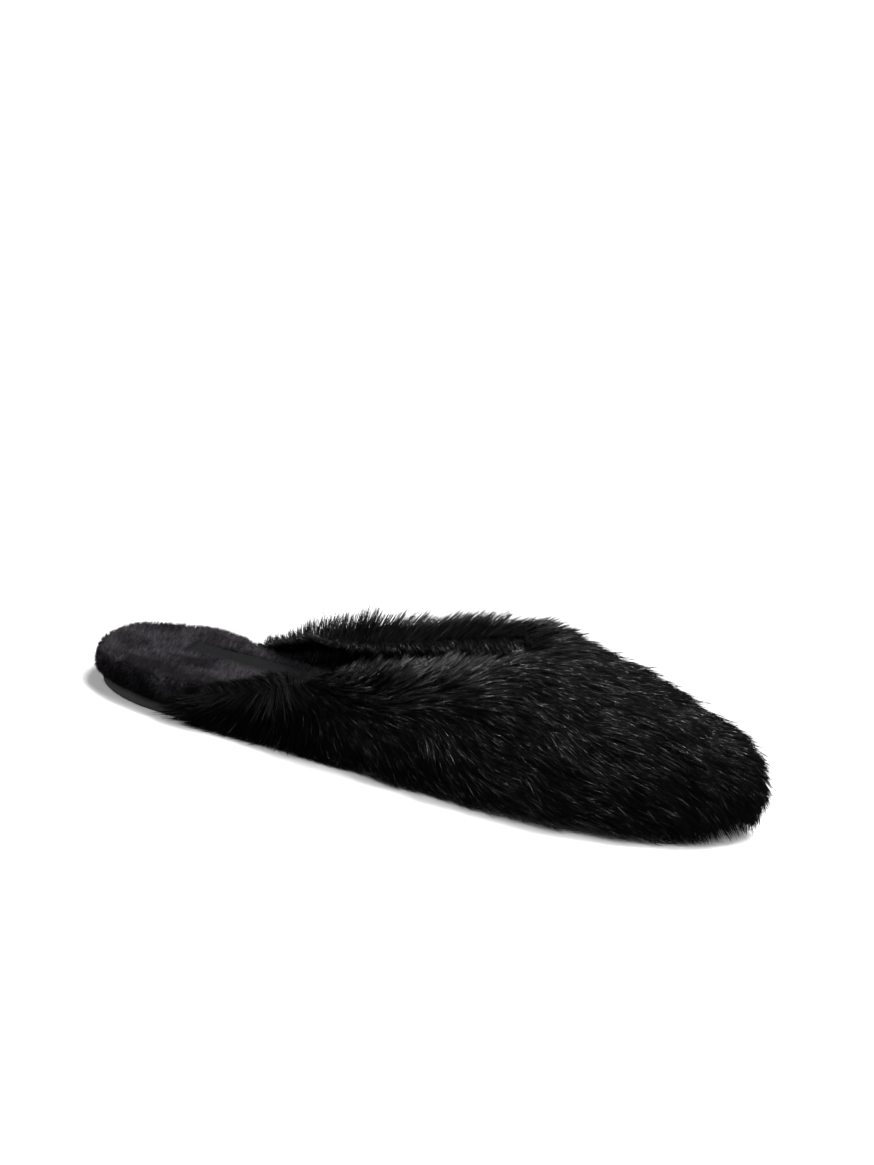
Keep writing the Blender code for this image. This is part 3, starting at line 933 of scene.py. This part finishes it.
    def plant(self, side: Side, lot: Lot, rng: np.random.Generator) -> tuple:
        """Chooses roots for one field of pile and how each grows.

        Args:
            side: The half of the upper.
            lot: The field of pile.
            rng: The source of chance.

        Returns:
            Roots, normals, ways, root angles, tip angles and lengths.
        """
        skin = self.skins[side]
        sections = self.sections[side]
        up = np.linspace(0.0, 1.0, self.rows - 1)[None, :]
        gap = (1 - up) * sections[:-1, None]
        open_top = skin.grid[:-1, :-1, 0] < FORM.throat
        crowd = 1.3 if side is Side.LATERAL else 2.8
        weights = {
            Ground.OUTER: np.where(open_top, 1.0 + crowd * np.exp(-gap / 5.0), 1.0),
            Ground.RIM: np.where(open_top & (gap < 1.2), 1.0, 0.0),
            Ground.INNER: np.where(open_top & (gap < 6.0), 1.0, 0.0),
        }
        column, row = skin.scatter(lot.count, rng, weights[lot.ground])
        root = skin.read(skin.grid, column, row)
        normal = unit(skin.read(skin.normal, column, row))
        x = root[:, 0]
        flat = np.ones(len(x))
        if lot.ground is Ground.RIM:
            rise = unit(skin.read(skin.rise, column, row))
            root = root - normal * rng.uniform(0.2, FORM.wall - 0.2, len(x))[:, None]
            run = smoothstep(72.0, 96.0, x)
            front = run if side is Side.LATERAL else 0.65 + 0.35 * run
            way = -normal * (0.15 + 0.75 * front)[:, None]
            way[:, 0] += -0.6 + 1.15 * run if side is Side.LATERAL else -0.2 + 0.75 * run
            stand = unit(rise + normal * (0.5 - 0.6 * front)[:, None])
            steep = np.radians(40.0 + 28.0 * front)
            final = np.radians(-22.0 + (0.0 if side is Side.LATERAL else 45.0) * (1 - run))
            size = (9.5 + 2.0 * front) * (0.6 + 0.4 * smoothstep(46.0, 72.0, x))
            return root, stand, way, steep, final, size
        if lot.ground is Ground.INNER:
            root = root - normal * (FORM.wall - 0.2)
            forward = 0.1 + 0.75 * smoothstep(60.0, 140.0, x)
            way = np.stack([forward, np.zeros(len(x)), np.full(len(x), -0.62)], axis=1)
            size = 4.5 + 6.0 * smoothstep(74.0, 130.0, x)
            return root, -normal, way, flat * math.radians(48.0), flat * math.radians(-6.0), size
        height = row / (self.rows - 1)
        section = np.interp(column, np.arange(self.columns), sections)
        down = (1 - height) * section
        past_throat = np.hypot(np.maximum(x - FORM.throat, 0.0), down)
        way = self.way_at(x, past_throat, height, side)
        return (root, normal, way, *self.lie(x, past_throat, height * section, side))

    def comb(self, side: Side) -> list:
        """Grows locks and loose strands over one half.

        Args:
            side: The half of the upper.

        Returns:
            Fields of strands, small enough for one mesh each.
        """
        rng = np.random.default_rng(21 if side is Side.LATERAL else 22)
        grown = []
        for lot in self.lots:
            root, normal, way, steep, final, length = self.plant(side, lot, rng)
            count = lot.count
            sway = Ripple(24.0, 5).at(root) * 0.22 + Ripple(9.0, 6).at(root) * 0.11 + rng.normal(0, 0.05, count)
            lift = Ripple(14.0, 8).at(root) * 0.08 + rng.normal(0, 0.05, count)
            length = length * (1 + 0.07 * Ripple(9.0, 9).at(root) + rng.normal(0, 0.07, count))
            bright = 0.78 + 0.24 * Ripple(11.0, 12).at(root) + rng.normal(0, 0.14, count)
            # Painted shadow: on the near side the strands shine less round 75 mm from the heel, and a little less
            # toward the heel from about 175 mm back
            if side is Side.LATERAL:
                bright -= 0.55 * np.exp(-(((root[:, 0] - 75.0) / 18.0) ** 2))
                bright -= 0.10 * smoothstep(175.0, 130.0, root[:, 0])
            # Painted shade: the strands inside the collar keep half their shine
            if lot.ground is Ground.INNER:
                bright = bright * 0.5
            if lot.strands == 1:
                sway = sway + rng.normal(0, 0.16, count)
                lift = lift + rng.normal(0.03, 0.12, count)
            guide = self.grow(root, normal, way, (steep + lift, final + lift * 0.7), length, sway, lot.kind)
            inside = lot.strands
            spread = rng.normal(0, self.lock_radius / 1.5 * (inside > 1), (count, inside, 2))
            ahead = unit(np.cross(normal, np.array([0.0, 0.0, 1.0])) + 1e-6)
            other = np.cross(normal, ahead)
            core = (np.arange(inside) < self.core)[None, :, None]
            spread = spread * np.where(core, 0.5, 1.2)
            offset = ahead[:, None] * spread[..., :1] + other[:, None] * spread[..., 1:]
            share = np.linspace(0.0, 1.0, guide.shape[1])
            close = 1.0 - 0.5 * share**0.9
            stretch = 1.0 + rng.normal(0, 0.10, (count, inside, 1, 1))
            paths = guide[:, None, :1] + (guide[:, None] - guide[:, None, :1]) * stretch
            paths = paths + offset[:, :, None, :] * close[None, None, :, None]
            stray = rng.normal(0, 0.20, (count, inside, 1, 3)) * (share**1.3)[None, None, :, None]
            lifted = normal[:, None, None, :] * (core * 0.4)[..., None] * share[None, None, :, None]
            paths = self.settle((paths + stray + lifted).reshape(-1, guide.shape[1], 3), rng)
            normals = np.repeat(normal, inside, axis=0)
            on_top = np.tile(core.ravel(), count)
            widths = rng.uniform(0.7, 1.1, len(paths)) * self.strand_width * np.where(on_top, 1.25, 1.0)
            glow = np.repeat(bright, inside)
            glint = np.clip(glow + rng.uniform(-0.3, 0.3, len(paths)), 0.05, 1.0) ** 2.3
            shine = np.where(on_top, glint, rng.uniform(0.0, 0.22, len(paths)) * glow)
            order = np.argsort(np.repeat(root[:, 0], inside), kind="stable")
            parts = math.ceil(len(order) * (lot.kind.value * 6 - 3) / 190000)
            for number, chosen in enumerate(np.array_split(order, parts)):
                name = f"fur_{side.name.lower()}_{lot.name}_{number + 1}"
                grown.append(
                    Strands(name, lot.kind, paths[chosen], widths[chosen], normals[chosen], shine[chosen])
                )
        return grown

    def grow(
        self,
        root: Array,
        normal: Array,
        way: Array,
        tilts: tuple,
        length: Array,
        sway: Array,
        kind: PileKind,
    ) -> Array:
        """Grows one path from each root.

        Args:
            root: Where each path starts.
            normal: The skin's normal there.
            way: The way the pile lies, before it is laid on the skin.
            tilts: Angle off the skin at the root and at the tip.
            length: Length of each path.
            sway: Sideways turn at the tip, in radians.
            kind: How many steps a path has.

        Returns:
            An array of paths by points by 3.
        """
        flat = unit(way - normal * np.sum(way * normal, axis=1, keepdims=True))
        beside = np.cross(normal, flat)
        steps = kind.value
        path = [root - normal * 0.4]
        for step in range(steps):
            share = (step + 0.5) / steps
            turn = sway * (0.4 + 0.8 * share)
            tilt = tilts[0] + (tilts[1] - tilts[0]) * share**0.8
            level = flat * np.cos(turn)[:, None] + beside * np.sin(turn)[:, None]
            ahead = level * np.cos(tilt)[:, None] + normal * np.sin(tilt)[:, None]
            ahead[:, 2] -= 0.08 * share
            path.append(path[-1] + unit(ahead) * (length / steps)[:, None])
        return np.stack(path, axis=1)

    def settle(self, paths: Array, rng: np.random.Generator) -> Array:
        """Bends the tips up where they would go through the floor."""
        low = self.floor_gap + rng.uniform(0.0, 1.2, (len(paths), 1))
        paths[:, :, 2] = np.maximum(paths[:, :, 2], low)
        return paths


@dataclass
class Cushion:
    """The footbed: a soft cupped cushion under short brushed plush, with a bare woven strip."""

    columns: int = 260
    top_rows: int = 64
    side_rows: int = 9
    pile: int = 40000
    pile_length: float = 2.2
    pile_width: float = 0.42
    label_length: float = 44.5
    label_width: float = 9.8
    label_place: tuple = (48.0, 9.0)
    label_turn: float = -3.4
    # Painted shade patches of the nap: centre X and Y, half length, half width and depth
    patches: tuple = (
        (33.0, -4.0, 8.0, 10.0, 0.75),
        (22.0, -21.0, 13.0, 9.0, 0.80),
        (40.0, -25.0, 13.0, 7.0, 0.75),
        (56.0, -21.0, 11.0, 5.0, 0.80),
        (9.0, -3.0, 6.0, 12.0, 0.45),
        (33.0, 19.5, 7.0, 4.0, 0.60),
        (13.0, 19.0, 8.0, 6.0, 0.40),
        (64.0, 21.0, 12.0, 4.0, 0.50),
        (92.0, -6.0, 14.0, 16.0, 0.35),
    )

    def build(self) -> None:
        """Builds and dresses the cushion, its pile and its label."""
        grid, normal = self.surface()
        columns, rows = grid.shape[:2]
        faces = [grid_faces(columns, rows, 0, False)]
        bottom = np.stack([np.arange(columns - 1) * rows, np.arange(columns - 1) * rows + rows - 1], axis=1)
        faces.append(np.stack([bottom[:, 0], bottom[:, 1], bottom[:, 1] + rows, bottom[:, 0] + rows], axis=1))
        for base, flip in ((0, False), ((columns - 1) * rows, True)):
            low = base + np.arange(rows // 2 - 1)
            high = base + rows - 1 - np.arange(rows // 2 - 1)
            cap = np.stack([low, low + 1, high - 1, high], axis=1)
            faces.append(cap[:, ::-1] if flip else cap)
        # The cushion's tone is the painted light and shade of the nap
        tone = self.brushed(grid.reshape(-1, 3))
        cushion = make_mesh("footbed_cushion", grid.reshape(-1, 3), np.concatenate(faces), tone)
        plush = PLUSH.material()
        dress(cushion, plush)
        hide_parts("footbed")
        self.grow_pile(grid, normal, plush)
        self.label()

    def surface(self) -> tuple:
        """Works out the cushion's skin from its left lower edge over the top to its right one.

        Returns:
            The grid of points and the grid of normals.
        """
        turn = np.linspace(0.004, 0.978, self.columns)
        x = FORM.length_at(turn)
        low = FORM.sole_top(x) + FORM.clearance
        high = FORM.bed_rim(x)
        angle = np.linspace(0.0, math.pi / 2, 6)
        insets = [np.full(self.columns, 0.9), np.full(self.columns, 0.15)]
        levels = [low, low + 0.9]
        for step in np.linspace(0.0, 1.0, 4)[1:]:
            insets.append(np.full(self.columns, -0.25 * math.sin(math.pi * step)))
            levels.append(low + 1.2 + (high - FORM.bed_upper_round - low - 1.2) * step)
        for bend in angle[1:]:
            insets.append(FORM.bed_upper_round * (1 - math.cos(bend)) * np.ones(self.columns))
            levels.append(high - FORM.bed_upper_round * (1 - math.sin(bend)))
        flanks = {}
        for side in Side:
            flanks[side] = [
                np.concatenate([FORM.bed_edge(turn, side, inset), level[:, None]], axis=1)
                for inset, level in zip(insets, levels)
            ]
        left = np.stack(flanks[Side.LATERAL], axis=1)
        right = np.stack(flanks[Side.MEDIAL], axis=1)[:, ::-1]
        share = np.linspace(0.0, 1.0, self.top_rows + 2)[1:-1]
        middle = left[:, -1:, :] * (1 - share)[None, :, None] + right[:, :1, :] * share[None, :, None]
        middle[..., 2] = high[:, None] - FORM.bed_cup(x)[:, None] * (1 - (2 * share - 1) ** 2)[None, :]
        grid = np.concatenate([left, middle, right], axis=1)
        normal = unit(np.cross(np.gradient(grid, axis=0), np.gradient(grid, axis=1)))
        swell = Ripple(16.0, 31).at(grid.reshape(-1, 3)) * 0.22 + Ripple(5.0, 32).at(grid.reshape(-1, 3)) * 0.10
        inside = smoothstep(FORM.collar_back, FORM.collar_back - 8.0, grid[..., 0])
        flank = np.zeros(grid.shape[1])
        flank[len(levels) : -len(levels)] = 1.0
        ease = np.maximum(inside, flank[None, :])
        grid = grid + normal * (swell.reshape(grid.shape[:2]) * ease - 0.1)[..., None]
        return grid, normal

    def brushed(self, places: Array) -> Array:
        """How light the plush is painted at each place, from 0 to 1: painted light and shade of the brushed nap,
        and a painted shadow round the label.
        """
        wander = np.stack([Ripple(8.0, 51).at(places), Ripple(8.0, 53).at(places)], axis=1) * 2.4
        spots = places[:, :2] + wander
        tone = 0.60 + 0.12 * Ripple(10.0, 54).at(places) + 0.20 * Ripple(2.6, 52).at(places)
        tone += 0.24 * Ripple(1.3, 55).at(places)
        # Painted shade: each patch darkens the plush
        for x, y, half_length, half_width, depth in self.patches:
            far = ((spots[:, 0] - x) / half_length) ** 2 + ((spots[:, 1] - y) / half_width) ** 2
            tone -= depth * np.exp(-(far**1.5))
        # Painted shadow: the plush darkens close round the label's edge and under it
        sunk = np.abs(self.label_frame(places)) - np.array([self.label_length, self.label_width]) / 2
        gap = np.linalg.norm(np.maximum(sunk, 0.0), axis=1)
        return np.clip(tone * (1.0 - 0.9 * np.exp(-((gap / 1.5) ** 2))), 0.0, 1.0)

    def grow_pile(self, grid: Array, normal: Array, plush: bpy.types.Material) -> None:
        """Covers the cushion with short pile, brushed one way and the other in patches.

        Args:
            grid: Points of the cushion's skin.
            normal: Normals of the skin.
            plush: The material of cushion and pile.
        """
        rng = np.random.default_rng(41)
        skin = Skin(grid, Side.MEDIAL)
        centre = (grid[1:, 1:] + grid[:-1, :-1]) / 2
        rows = grid.shape[1] - 1
        weight = np.ones((grid.shape[0] - 1, rows))
        weight[centre[..., 0] > 150.0] = 0.35
        hidden = (centre[..., 0] > FORM.collar_back) & (
            (np.arange(rows)[None, :] < 9) | (np.arange(rows)[None, :] > rows - 10)
        )
        weight[hidden] = 0.0
        column, row = skin.scatter(self.pile, rng, weight)
        root = skin.read(grid, column, row)
        normals = unit(skin.read(normal, column, row))
        turned = self.label_frame(root)
        reach = np.array([self.label_length, self.label_width]) / 2 + 0.35
        clear = np.any(np.abs(turned) > reach, axis=1)
        root = root[clear]
        normals = normals[clear]
        count = len(root)
        # The same painted nap shading sets each pile strand's lie and shine
        tone = self.brushed(root)
        angle = (tone * 2 - 1) * 1.3 + 0.5 + Ripple(3.0, 56).at(root) * 0.9 + rng.normal(0, 0.3, count)
        way = np.stack([np.cos(angle), np.sin(angle), np.full(count, -0.2)], axis=1)
        flat = unit(way - normals * np.sum(way * normals, axis=1, keepdims=True))
        lean = rng.uniform(0.45, 0.95, count)[:, None]
        ahead = unit(normals + flat * lean)
        above = root[:, 2] - FORM.sole_top(root[:, 0]) - FORM.clearance
        size = rng.uniform(0.75, 1.15, count) * self.pile_length * np.clip(0.3 + above / 4.0, 0.3, 1.0)
        size = size[:, None]
        paths = np.stack([root - normals * 0.2, root + ahead * size], axis=1)
        widths = rng.uniform(0.75, 1.3, count) * self.pile_width
        shine = np.clip(tone * rng.uniform(0.15, 1.65, count), 0.0, 1.1)
        pile = Strands("footbed_pile", PileKind.SHORT, paths, widths, normals, shine, 0.8, 42).mesh()
        dress(pile, plush)
        LOG.info("footbed pile: %d strands", count)

    def label_frame(self, points: Array) -> Array:
        """Turns places into the label's own length and width."""
        turn = math.radians(self.label_turn)
        flat = points[:, :2] - np.array(self.label_place)
        along = flat[:, 0] * math.cos(turn) + flat[:, 1] * math.sin(turn)
        across = -flat[:, 0] * math.sin(turn) + flat[:, 1] * math.cos(turn)
        return np.stack([along, across], axis=1)

    def label(self) -> None:
        """Makes the bare woven strip, a thin slab with a raised crown and a slight wave."""
        columns, rows = 90, 24
        u = np.linspace(-0.5, 0.5, columns) * self.label_length
        v = np.linspace(-0.5, 0.5, rows) * self.label_width
        along, across = np.meshgrid(u, v, indexing="ij")
        turn = math.radians(self.label_turn)
        x = self.label_place[0] + along * math.cos(turn) - across * math.sin(turn)
        y = self.label_place[1] + along * math.sin(turn) + across * math.cos(turn)
        base = FORM.bed_top(x, y)
        edge = np.minimum(self.label_length / 2 - np.abs(along), self.label_width / 2 - np.abs(across))
        crown = 0.35 * (1 - np.exp(-np.clip(edge, 0, None) / 0.5))
        flat = np.stack([x, y, base], axis=-1).reshape(-1, 3)
        wave = Ripple(9.0, 61).at(flat).reshape(columns, rows) * 0.08
        top = np.stack([x, y, base + 0.30 + crown + wave], axis=-1)
        low = np.stack([x, y, base + 0.1 + wave * 0.2], axis=-1)
        size = columns * rows
        faces = [grid_faces(columns, rows, 0, False), grid_faces(columns, rows, size, True)]
        for edge_line, flip in (
            (np.arange(columns) * rows, False),
            (np.arange(columns) * rows + rows - 1, True),
            (np.arange(rows), True),
            ((columns - 1) * rows + np.arange(rows), False),
        ):
            strip = np.stack([edge_line[:-1], edge_line[:-1] + size, edge_line[1:] + size, edge_line[1:]], axis=1)
            faces.append(strip[:, ::-1] if flip else strip)
        points = np.concatenate([top.reshape(-1, 3), low.reshape(-1, 3)])
        strip = make_mesh("label_strip", points, np.concatenate(faces))
        dress(strip, SATIN.material())
        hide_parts("footbed_label")
        LOG.info("label made")


@dataclass
class RubberSole:
    """The moulded outsole: rounded edge, ribs, cross groove and the bare disc."""

    heel_groove: tuple = (59.0, 2.4, 1.5)
    rib_pitch: float = 4.6
    rib_groove_width: float = 1.6
    rib_groove_depth: float = 1.0
    toe_margin: float = 6.0
    edge_round: float = 1.2
    disc_place: tuple = (85.0, -4.8)
    disc_diameter: float = 23.0
    disc_moat: float = 1.1
    disc_recess: float = 0.1

    def grooves(self) -> list:
        """Centre, width and depth of every groove of the tread."""
        found = [self.heel_groove]
        centre = self.heel_groove[0] + self.heel_groove[1] / 2 + self.rib_pitch - self.rib_groove_width / 2
        while centre < FORM.sole_length - self.toe_margin:
            found.append((centre, self.rib_groove_width, self.rib_groove_depth))
            centre += self.rib_pitch
        return found

    def stations(self) -> tuple:
        """X and groove depth of every station, with the corners of each groove softly rounded."""
        places = []
        for centre, width, depth in self.grooves():
            half = width / 2
            for step, share in ((-1.0, 0.0), (-0.86, 0.12), (-0.72, 0.88), (-0.55, 1.0), (0.55, 1.0), (0.72, 0.88), (0.86, 0.12), (1.0, 0.0)):
                places.append((centre + half * step, depth * share))
        first = places[0][0]
        last = places[-1][0]
        for turn in np.linspace(0.006, 0.994, 150):
            x = float(FORM.length_at(turn))
            if x < first - 0.5 or x > last + 0.3:
                places.append((x, 0.0))
        places.sort()
        return np.array(places)[:, 0], np.array(places)[:, 1]

    def build(self) -> None:
        """Builds and dresses the outsole."""
        x, depth = self.stations()
        turn = FORM.turn_of(x / FORM.sole_length)
        low = FORM.sole_bottom(x)
        high = FORM.sole_top(x)
        across = np.linspace(-1.0, 1.0, 41)
        left = FORM.reach(turn, Side.LATERAL)
        right = FORM.reach(turn, Side.MEDIAL)
        rings = []
        bend = np.linspace(math.pi / 2, 0.0, 5)
        r = self.edge_round
        for inset, level in [(r * (1 - math.cos(a)), r * (1 - math.sin(a))) for a in bend] + [
            (0.0, None),
            (0.15, None),
            (0.55, None),
        ]:
            rings.append((inset, level))
        def ring(side_y: Array, inset: float, z: Array) -> Array:
            """One line of points along the sole at an inset from its outline."""
            along = FORM.sole_length / 2 + (x - FORM.sole_length / 2) * (1 - 2 * inset / FORM.sole_length)
            return np.stack([along, side_y * (1 - 2 * inset / FORM.ball_width), z], axis=1)
        lines = []
        for number, (inset, level) in enumerate(rings):
            if level is None:
                z = high - (0.55, 0.15, 0.0)[number - 5]
            else:
                z = low + np.maximum(level, depth if number == 0 else depth * (0.9, 0.6, 0.25, 0.0)[number - 1])
            lines.append((inset, z))
        left_side = [ring(left, inset, z) for inset, z in lines]
        right_side = [ring(right, inset, z) for inset, z in lines]
        start = left_side[0]
        end = right_side[0]
        tread = []
        for share in (across[1:-1] + 1) / 2:
            row = start * (1 - share) + end * share
            row[:, 2] = low + depth
            spot = np.hypot(row[:, 0] - self.disc_place[0], row[:, 1] - self.disc_place[1])
            radius = self.disc_diameter / 2
            base = float(FORM.sole_bottom(self.disc_place[0]))
            row[:, 2] = np.where(spot < radius + self.disc_moat, base + self.rib_groove_depth, row[:, 2])
            row[:, 2] = np.where(spot < radius, base + 1.0, row[:, 2])
            tread.append(row)
        loop = left_side[::-1] + tread + right_side
        grid = np.stack(loop, axis=1)
        columns, rows = grid.shape[:2]
        faces = [grid_faces(columns, rows, 0, True)]
        edge = np.arange(columns - 1) * rows
        faces.append(np.stack([edge, edge + rows - 1, edge + 2 * rows - 1, edge + rows], axis=1)[:, ::-1])
        half = len(left_side)
        for base, flip in ((0, False), ((columns - 1) * rows, True)):
            for level in range(half - 1):
                a = base + level
                b = base + rows - 1 - level
                quad = np.array([[a, a + 1, b - 1, b]])
                faces.append(quad[:, ::-1] if flip else quad)
        sole = make_mesh("rubber_sole", grid.reshape(-1, 3), np.concatenate(faces))
        sole.data.set_sharp_from_angle(angle=math.radians(32.0))
        rubber = RUBBER.material()
        dress(sole, rubber)
        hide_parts("outsole")
        self.disc(rubber)
        LOG.info("outsole made")

    def disc(self, rubber: bpy.types.Material) -> None:
        """Makes the smooth bare disc that stands in its own ring groove."""
        sides = 96
        base = float(FORM.sole_bottom(self.disc_place[0])) + self.disc_recess
        radius = self.disc_diameter / 2
        rings = ((radius - 1.2, 0.0), (radius - 0.9, 0.12), (radius - 0.7, 0.0), (radius - 0.15, 0.0), (radius, 0.15), (radius, 2.0))
        angle = np.linspace(0, 2 * math.pi, sides, endpoint=False)
        points = [[self.disc_place[0], self.disc_place[1], base]]
        for size, lift in rings:
            for a in angle:
                points.append([self.disc_place[0] + size * math.cos(a), self.disc_place[1] + size * math.sin(a), base + lift])
        faces = []
        for a in range(sides):
            b = (a + 1) % sides
            faces.append((0, 1 + b, 1 + a))
            for number in range(len(rings) - 1):
                c = 1 + number * sides
                faces.append((c + a, c + b, c + sides + b))
                faces.append((c + a, c + sides + b, c + sides + a))
        disc = make_mesh("tread_disc", np.array(points), np.array(faces))
        dress(disc, rubber)


@dataclass
class Studio:
    """A pale floor, soft light and the camera of the photograph."""

    target: tuple = (85.0, 0.0, 25.0)
    distance: float = 1500.0
    elevation: float = 19.5
    azimuth: float = 18.0
    roll: float = 8.1
    focal_pixels: float = 4290.0
    frame_height: float = 1165.0
    offset_pixels: tuple = (8.0, 101.0)
    air: float = 0.11
    suns: tuple = (
        ("overhead_softbox", 4.4, 30.0, (0.30, 0.25, 1.0)),
        ("front_softbox", 1.4, 30.0, (-0.5, -1.0, 1.1)),
        ("toe_softbox", 1.8, 34.0, (1.0, -0.35, 0.9)),
    )

    def build(self) -> None:
        """Makes the floor, the lights and the camera."""
        self.floor()
        self.lights()
        self.camera()

    def floor(self) -> None:
        """A wide pale floor that turns up softly behind the slipper."""
        columns = 60
        run = np.linspace(-1600.0, 3200.0, columns)
        height = 700.0 * smoothstep(1500.0, 3200.0, run) ** 1.5
        wide = np.linspace(-3500.0, 3500.0, 8)
        grid = np.empty((columns, 8, 3))
        turn = math.radians(self.azimuth)
        for number, (depth, z) in enumerate(zip(run, height)):
            grid[number, :, 0] = -math.sin(turn) * depth + wide * math.cos(turn) + FORM.heel_rest_x
            grid[number, :, 1] = math.cos(turn) * depth + wide * math.sin(turn)
            grid[number, :, 2] = z
        floor = make_mesh("studio_floor", grid.reshape(-1, 3), grid_faces(columns, 8, 0, True))
        made = bpy.data.materials.new("pale_floor")
        made.use_nodes = True
        shader = made.node_tree.nodes["Principled BSDF"]
        shader.inputs["Base Color"].default_value = (0.93, 0.93, 0.93, 1.0)
        shader.inputs["Roughness"].default_value = 0.9
        shader.inputs["Specular IOR Level"].default_value = 0.1
        floor.data.materials.append(made)
        floor.visible_diffuse = False
        floor.visible_glossy = False

    def lights(self) -> None:
        """Places the soft lights round the slipper and an even white sky."""
        world = bpy.data.worlds.new("studio_air")
        world.use_nodes = True
        world.node_tree.nodes["Background"].inputs["Color"].default_value = (1.0, 1.0, 1.0, 1.0)
        world.node_tree.nodes["Background"].inputs["Strength"].default_value = self.air
        bpy.context.scene.world = world
        for name, strength, spread, toward in self.suns:
            sun = bpy.data.lights.new(name, "SUN")
            sun.energy = strength
            sun.angle = math.radians(spread)
            place = Vector(toward).normalized()
            self.hang(name, sun, place, place)

    def hang(self, name: str, light: bpy.types.Light, place: Vector, away: Vector) -> None:
        """Puts a light in its place, turned to shine against the way it stands off."""
        lamp = bpy.data.objects.new(name, light)
        lamp.location = place
        lamp.rotation_mode = "QUATERNION"
        lamp.rotation_quaternion = (-away).to_track_quat("-Z", "Y")
        bpy.context.scene.collection.objects.link(lamp)

    def camera(self) -> None:
        """Places the camera at the angle of the photograph."""
        data = bpy.data.cameras.new("photograph_camera")
        data.sensor_width = 36.0
        data.lens = 36.0 * self.focal_pixels / self.frame_height
        data.shift_x = self.offset_pixels[0] / self.frame_height
        data.shift_y = self.offset_pixels[1] / self.frame_height
        data.clip_start = 0.05
        data.clip_end = 20.0
        camera = bpy.data.objects.new("photograph_camera", data)
        turn = math.radians(self.azimuth)
        rise = math.radians(self.elevation)
        back = Vector((math.sin(turn) * math.cos(rise), -math.cos(turn) * math.cos(rise), math.sin(rise)))
        camera.location = (Vector(self.target) + back * self.distance) * 0.001
        camera.rotation_mode = "QUATERNION"
        level = (-back).to_track_quat("-Z", "Y")
        camera.rotation_quaternion = level @ Quaternion((0.0, 0.0, 1.0), math.radians(self.roll))
        bpy.context.scene.collection.objects.link(camera)
        bpy.context.scene.camera = camera


def main() -> None:
    """Builds the slipper's sub-assemblies and the studio in order."""
    logging.basicConfig(level=logging.INFO, format="%(name)s %(message)s")
    bpy.context.scene.view_settings.view_transform = "Standard"
    for assembly in (RubberSole(), Cushion(), FurCoat(), Studio()):
        assembly.build()
        LOG.info("%s is ready", type(assembly).__name__)


if __name__ == "__main__":
    main()
